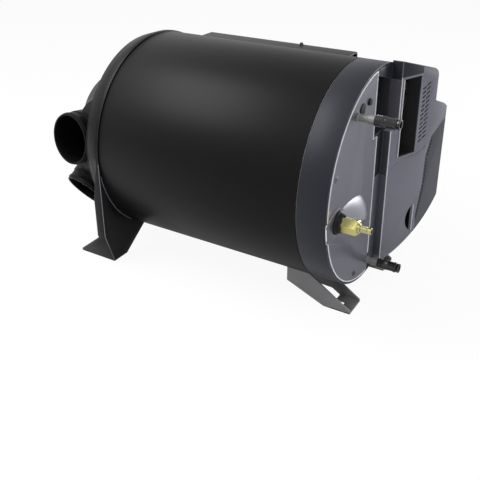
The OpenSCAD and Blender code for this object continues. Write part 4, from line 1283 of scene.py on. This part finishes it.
@dataclass
class Duct(SubAssembly):
    """The cable duct behind the drum's top, with its lid clips and stud.

    A sheet is a thickness and the radius of its rims.
    """

    rounding: float = 0.8
    left: float = 52.5
    right: float = 287.5
    top: float = 122.0
    rear: float = 112.0
    clip_count: int = 4
    clip_width: float = 12.0
    clip_span: Pair = (101.0, 115.0)
    eye_span: Pair = (104.0, 108.0)
    clip_sheet: Pair = (1.6, 0.3)
    stud: Pair = (206.0, 105.0)

    def build(self) -> None:
        """Builds the duct's pieces."""
        self.round_off("duct_plastic", self.rounding, "rear_duct")
        self.clips()
        self.top_stud()

    def clips(self) -> None:
        """Builds the clips that hold the duct's lid along its rear edge."""
        place = facing(point(0, self.rear, 0), ALONG, UPWARD, REARWARD)
        half, (low, high), (eye_low, eye_high) = self.clip_width / 2, self.clip_span, self.eye_span
        bm = bmesh.new()
        for i in range(self.clip_count):
            x = self.left + (self.right - self.left) * (i + 0.5) / self.clip_count
            edge = round_box((x - half, low), (x + half, high), 1.5)
            eye = round_box((x - half / 2, eye_low), (x + half / 2, eye_high), 1.0)
            plate(bm, [edge, eye], place, *self.clip_sheet)
        self.settle(publish("duct_clips", bm), "duct_plastic")

    def top_stud(self) -> None:
        """Builds the small stud on the duct's top."""
        x, y = self.stud
        bm = bmesh.new()
        turn(bm, [(-0.2, 0), (-0.2, 3.6), (0.6, 3.4), (1.0, 2.6), (2.6, 2.4), (3.4, 1.6), (3.6, 0)],
             point(x, y, self.top), UPWARD, steps=32)
        self.settle(publish("duct_stud", bm), "duct_plastic")


@dataclass
class Flue(SubAssembly):
    """The concentric flue at the rear."""

    rounding: float = 0.4

    def build(self) -> None:
        """Builds the flue with rounded edges."""
        self.round_off("stainless", self.rounding, "exhaust_stub")
        self.round_off("cap_plastic", self.rounding, "flue_saddle", "air_collar")


@dataclass
class InnerWorks(SubAssembly):
    """The nodes that keep their CAD shape and get a finish."""

    def build(self) -> None:
        """Dresses every node with the finish of its slot."""
        for part in frame["record"]["subparts"]:
            node = frame["nodes"][part["node"]]
            for socket in node.material_slots:
                socket.material = FINISHES[part["material_slot"]].material()
            LOG.info("InnerWorks: %s wears %s", part["node"], part["material_slot"])


@dataclass
class Studio:
    """The floor, the soft lights and the camera."""

    eye: Triple = (624.8, -741.5, 511.5)
    azimuth: float = 30.7
    elevation: float = 24.1
    lens: float = 51.08
    sensor: float = 36.0
    shift: Pair = (-10 / 480, -70 / 480)
    sky_tone: Colour = (0.95, 0.97, 1.0, 1.0)
    sky_strength: float = 0.36
    floor_half: float = 9.0
    floor_tones: Pair = (0.90, 0.93)
    floor_patches: float = 3.0
    floor_roughness: float = 0.9
    floor_specular: float = 0.1
    floor_white: float = 0.93
    floor_mirrored: float = 0.25

    def build(self) -> None:
        """Sets up the studio round the heater."""
        scene = bpy.context.scene
        scene.view_settings.view_transform = "Standard"
        self.sky(scene)
        self.floor(scene)
        self.lamp("key_softbox", (-0.55, -0.55, 1.28), (0.18, -0.1, 0.25), (0.8, 1.1), 22.0)
        self.lamp("side_softbox", (1.05, -0.62, 1.45), (0.36, 0.0, 0.16), (0.7, 0.7), 8.0)
        self.lamp("rear_softbox", (0.98, 1.34, 0.30), (0.36, -0.06, 0.14), (0.7, 0.5), 8.0)
        self.camera(scene)

    @staticmethod
    def show_white(tree: bpy.types.NodeTree, plain: bpy.types.Node, white: bpy.types.Node,
                   camera: float, glossy: float) -> bpy.types.Node:
        """Mixes in plain white for the rays that see a surface directly.

        Args:
            tree: the node tree that it is added to.
            plain: the shader that every other ray sees.
            white: the white shader.
            camera: share of white for camera and transmission rays.
            glossy: share of white for glossy rays.

        Returns:
            The mixed shader.
        """
        path, join = add_node(tree, "LightPath"), tree.links.new
        total: Socket | None = None
        for key, share in (("Camera", camera), ("Glossy", glossy), ("Transmission", camera)):
            part = add_node(tree, "Math")
            part.operation = "MULTIPLY"
            part.inputs[1].default_value = share
            join(path.outputs["Is %s Ray" % key], part.inputs[0])
            if total is None:
                total = part.outputs["Value"]
                continue
            most = add_node(tree, "Math")
            most.operation = "MAXIMUM"
            join(total, most.inputs[0])
            join(part.outputs["Value"], most.inputs[1])
            total = most.outputs["Value"]
        mix = add_node(tree, "MixShader")
        for index, socket in enumerate((total, plain.outputs[0], white.outputs[0])):
            join(socket, mix.inputs[index])
        return mix

    def sky(self, scene: bpy.types.Scene) -> None:
        """Makes the even studio light, white where it is seen directly.

        Args:
            scene: the scene that it lights.
        """
        world = bpy.data.worlds.new("studio")
        scene.world = world
        world.use_nodes = True
        tree = world.node_tree
        light = tree.nodes["Background"]
        light.inputs["Color"].default_value = self.sky_tone
        light.inputs["Strength"].default_value = self.sky_strength
        mix = self.show_white(tree, light, add_node(tree, "Background", Color=(1.0, 1.0, 1.0, 1.0)), 1.0, 1.0)
        tree.links.new(mix.outputs[0], tree.nodes["World Output"].inputs["Surface"])

    def floor(self, scene: bpy.types.Scene) -> None:
        """Makes the pale floor, which keeps the heater's shadow.

        Args:
            scene: the scene that it lies in.
        """
        h = self.floor_half
        mesh = bpy.data.meshes.new("floor")
        mesh.from_pydata([(-h, -h, 0), (h, -h, 0), (h, h, 0), (-h, h, 0)], [], [(0, 1, 2, 3)])
        floor = bpy.data.objects.new("floor", mesh)
        scene.collection.objects.link(floor)
        mat = bpy.data.materials.new("pale_floor")
        mat.use_nodes = True
        tree, join = mat.node_tree, mat.node_tree.links.new
        shader = tree.nodes["Principled BSDF"]
        shader.inputs["Roughness"].default_value = self.floor_roughness
        shader.inputs["Specular IOR Level"].default_value = self.floor_specular
        ramp = add_node(tree, "ValToRGB")
        for stop, tone in zip(ramp.color_ramp.elements, self.floor_tones):
            stop.color = (tone, tone, tone, 1.0)
        join(add_node(tree, "TexNoise", Scale=self.floor_patches).outputs[0], ramp.inputs["Fac"])
        join(ramp.outputs["Color"], shader.inputs["Base Color"])
        mix = self.show_white(tree, shader, add_node(tree, "Emission"), self.floor_white, self.floor_mirrored)
        join(mix.outputs[0], tree.nodes["Material Output"].inputs["Surface"])
        mesh.materials.append(mat)

    @staticmethod
    def lamp(name: str, place: Triple, aim: Triple, size: Pair, power: float) -> None:
        """Adds a softbox.

        Args:
            name: name of the lamp.
            place: where it stands, in metres.
            aim: the point that it faces.
            size: size along the drum and across it in metres.
            power: power in watts.
        """
        back = (Vector(place) - Vector(aim)).normalized()
        along = (ALONG - back * back.x).normalized()
        light = bpy.data.lights.new(name, "AREA")
        light.shape = "RECTANGLE"
        light.size, light.size_y = size
        light.energy = power
        lamp = bpy.data.objects.new(name, light)
        lamp.matrix_world = facing(Vector(place), along, back.cross(along), back)
        bpy.context.scene.collection.objects.link(lamp)

    def camera(self, scene: bpy.types.Scene) -> None:
        """Sets the camera at the photograph's viewing angle.

        Args:
            scene: the scene that it looks at.
        """
        data = bpy.data.cameras.new("camera")
        data.lens, data.sensor_width = self.lens, self.sensor
        data.shift_x, data.shift_y = self.shift
        camera = bpy.data.objects.new("camera", data)
        camera.location = Vector(self.eye) * MM
        camera.rotation_euler = (math.radians(90.0 - self.elevation), 0.0, math.radians(self.azimuth))
        scene.collection.objects.link(camera)
        scene.camera = camera


def main() -> None:
    """Builds the heater's looks in order."""
    logging.basicConfig(level=logging.INFO, format="%(name)s: %(message)s")
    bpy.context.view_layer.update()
    parts: list[SubAssembly] = [
        InnerWorks(), Drum(), LeftCradle(), AirEnd(), RightEnd(), GasInlet(), WaterJoint(),
        WaterJoint(name="cold", y=-2.0, z=-121.0, start=374.5), Electronics(), Feet(), Duct(), Flue()]
    for part in parts:
        part.build()
    Studio().build()


if __name__ == "__main__":
    main()
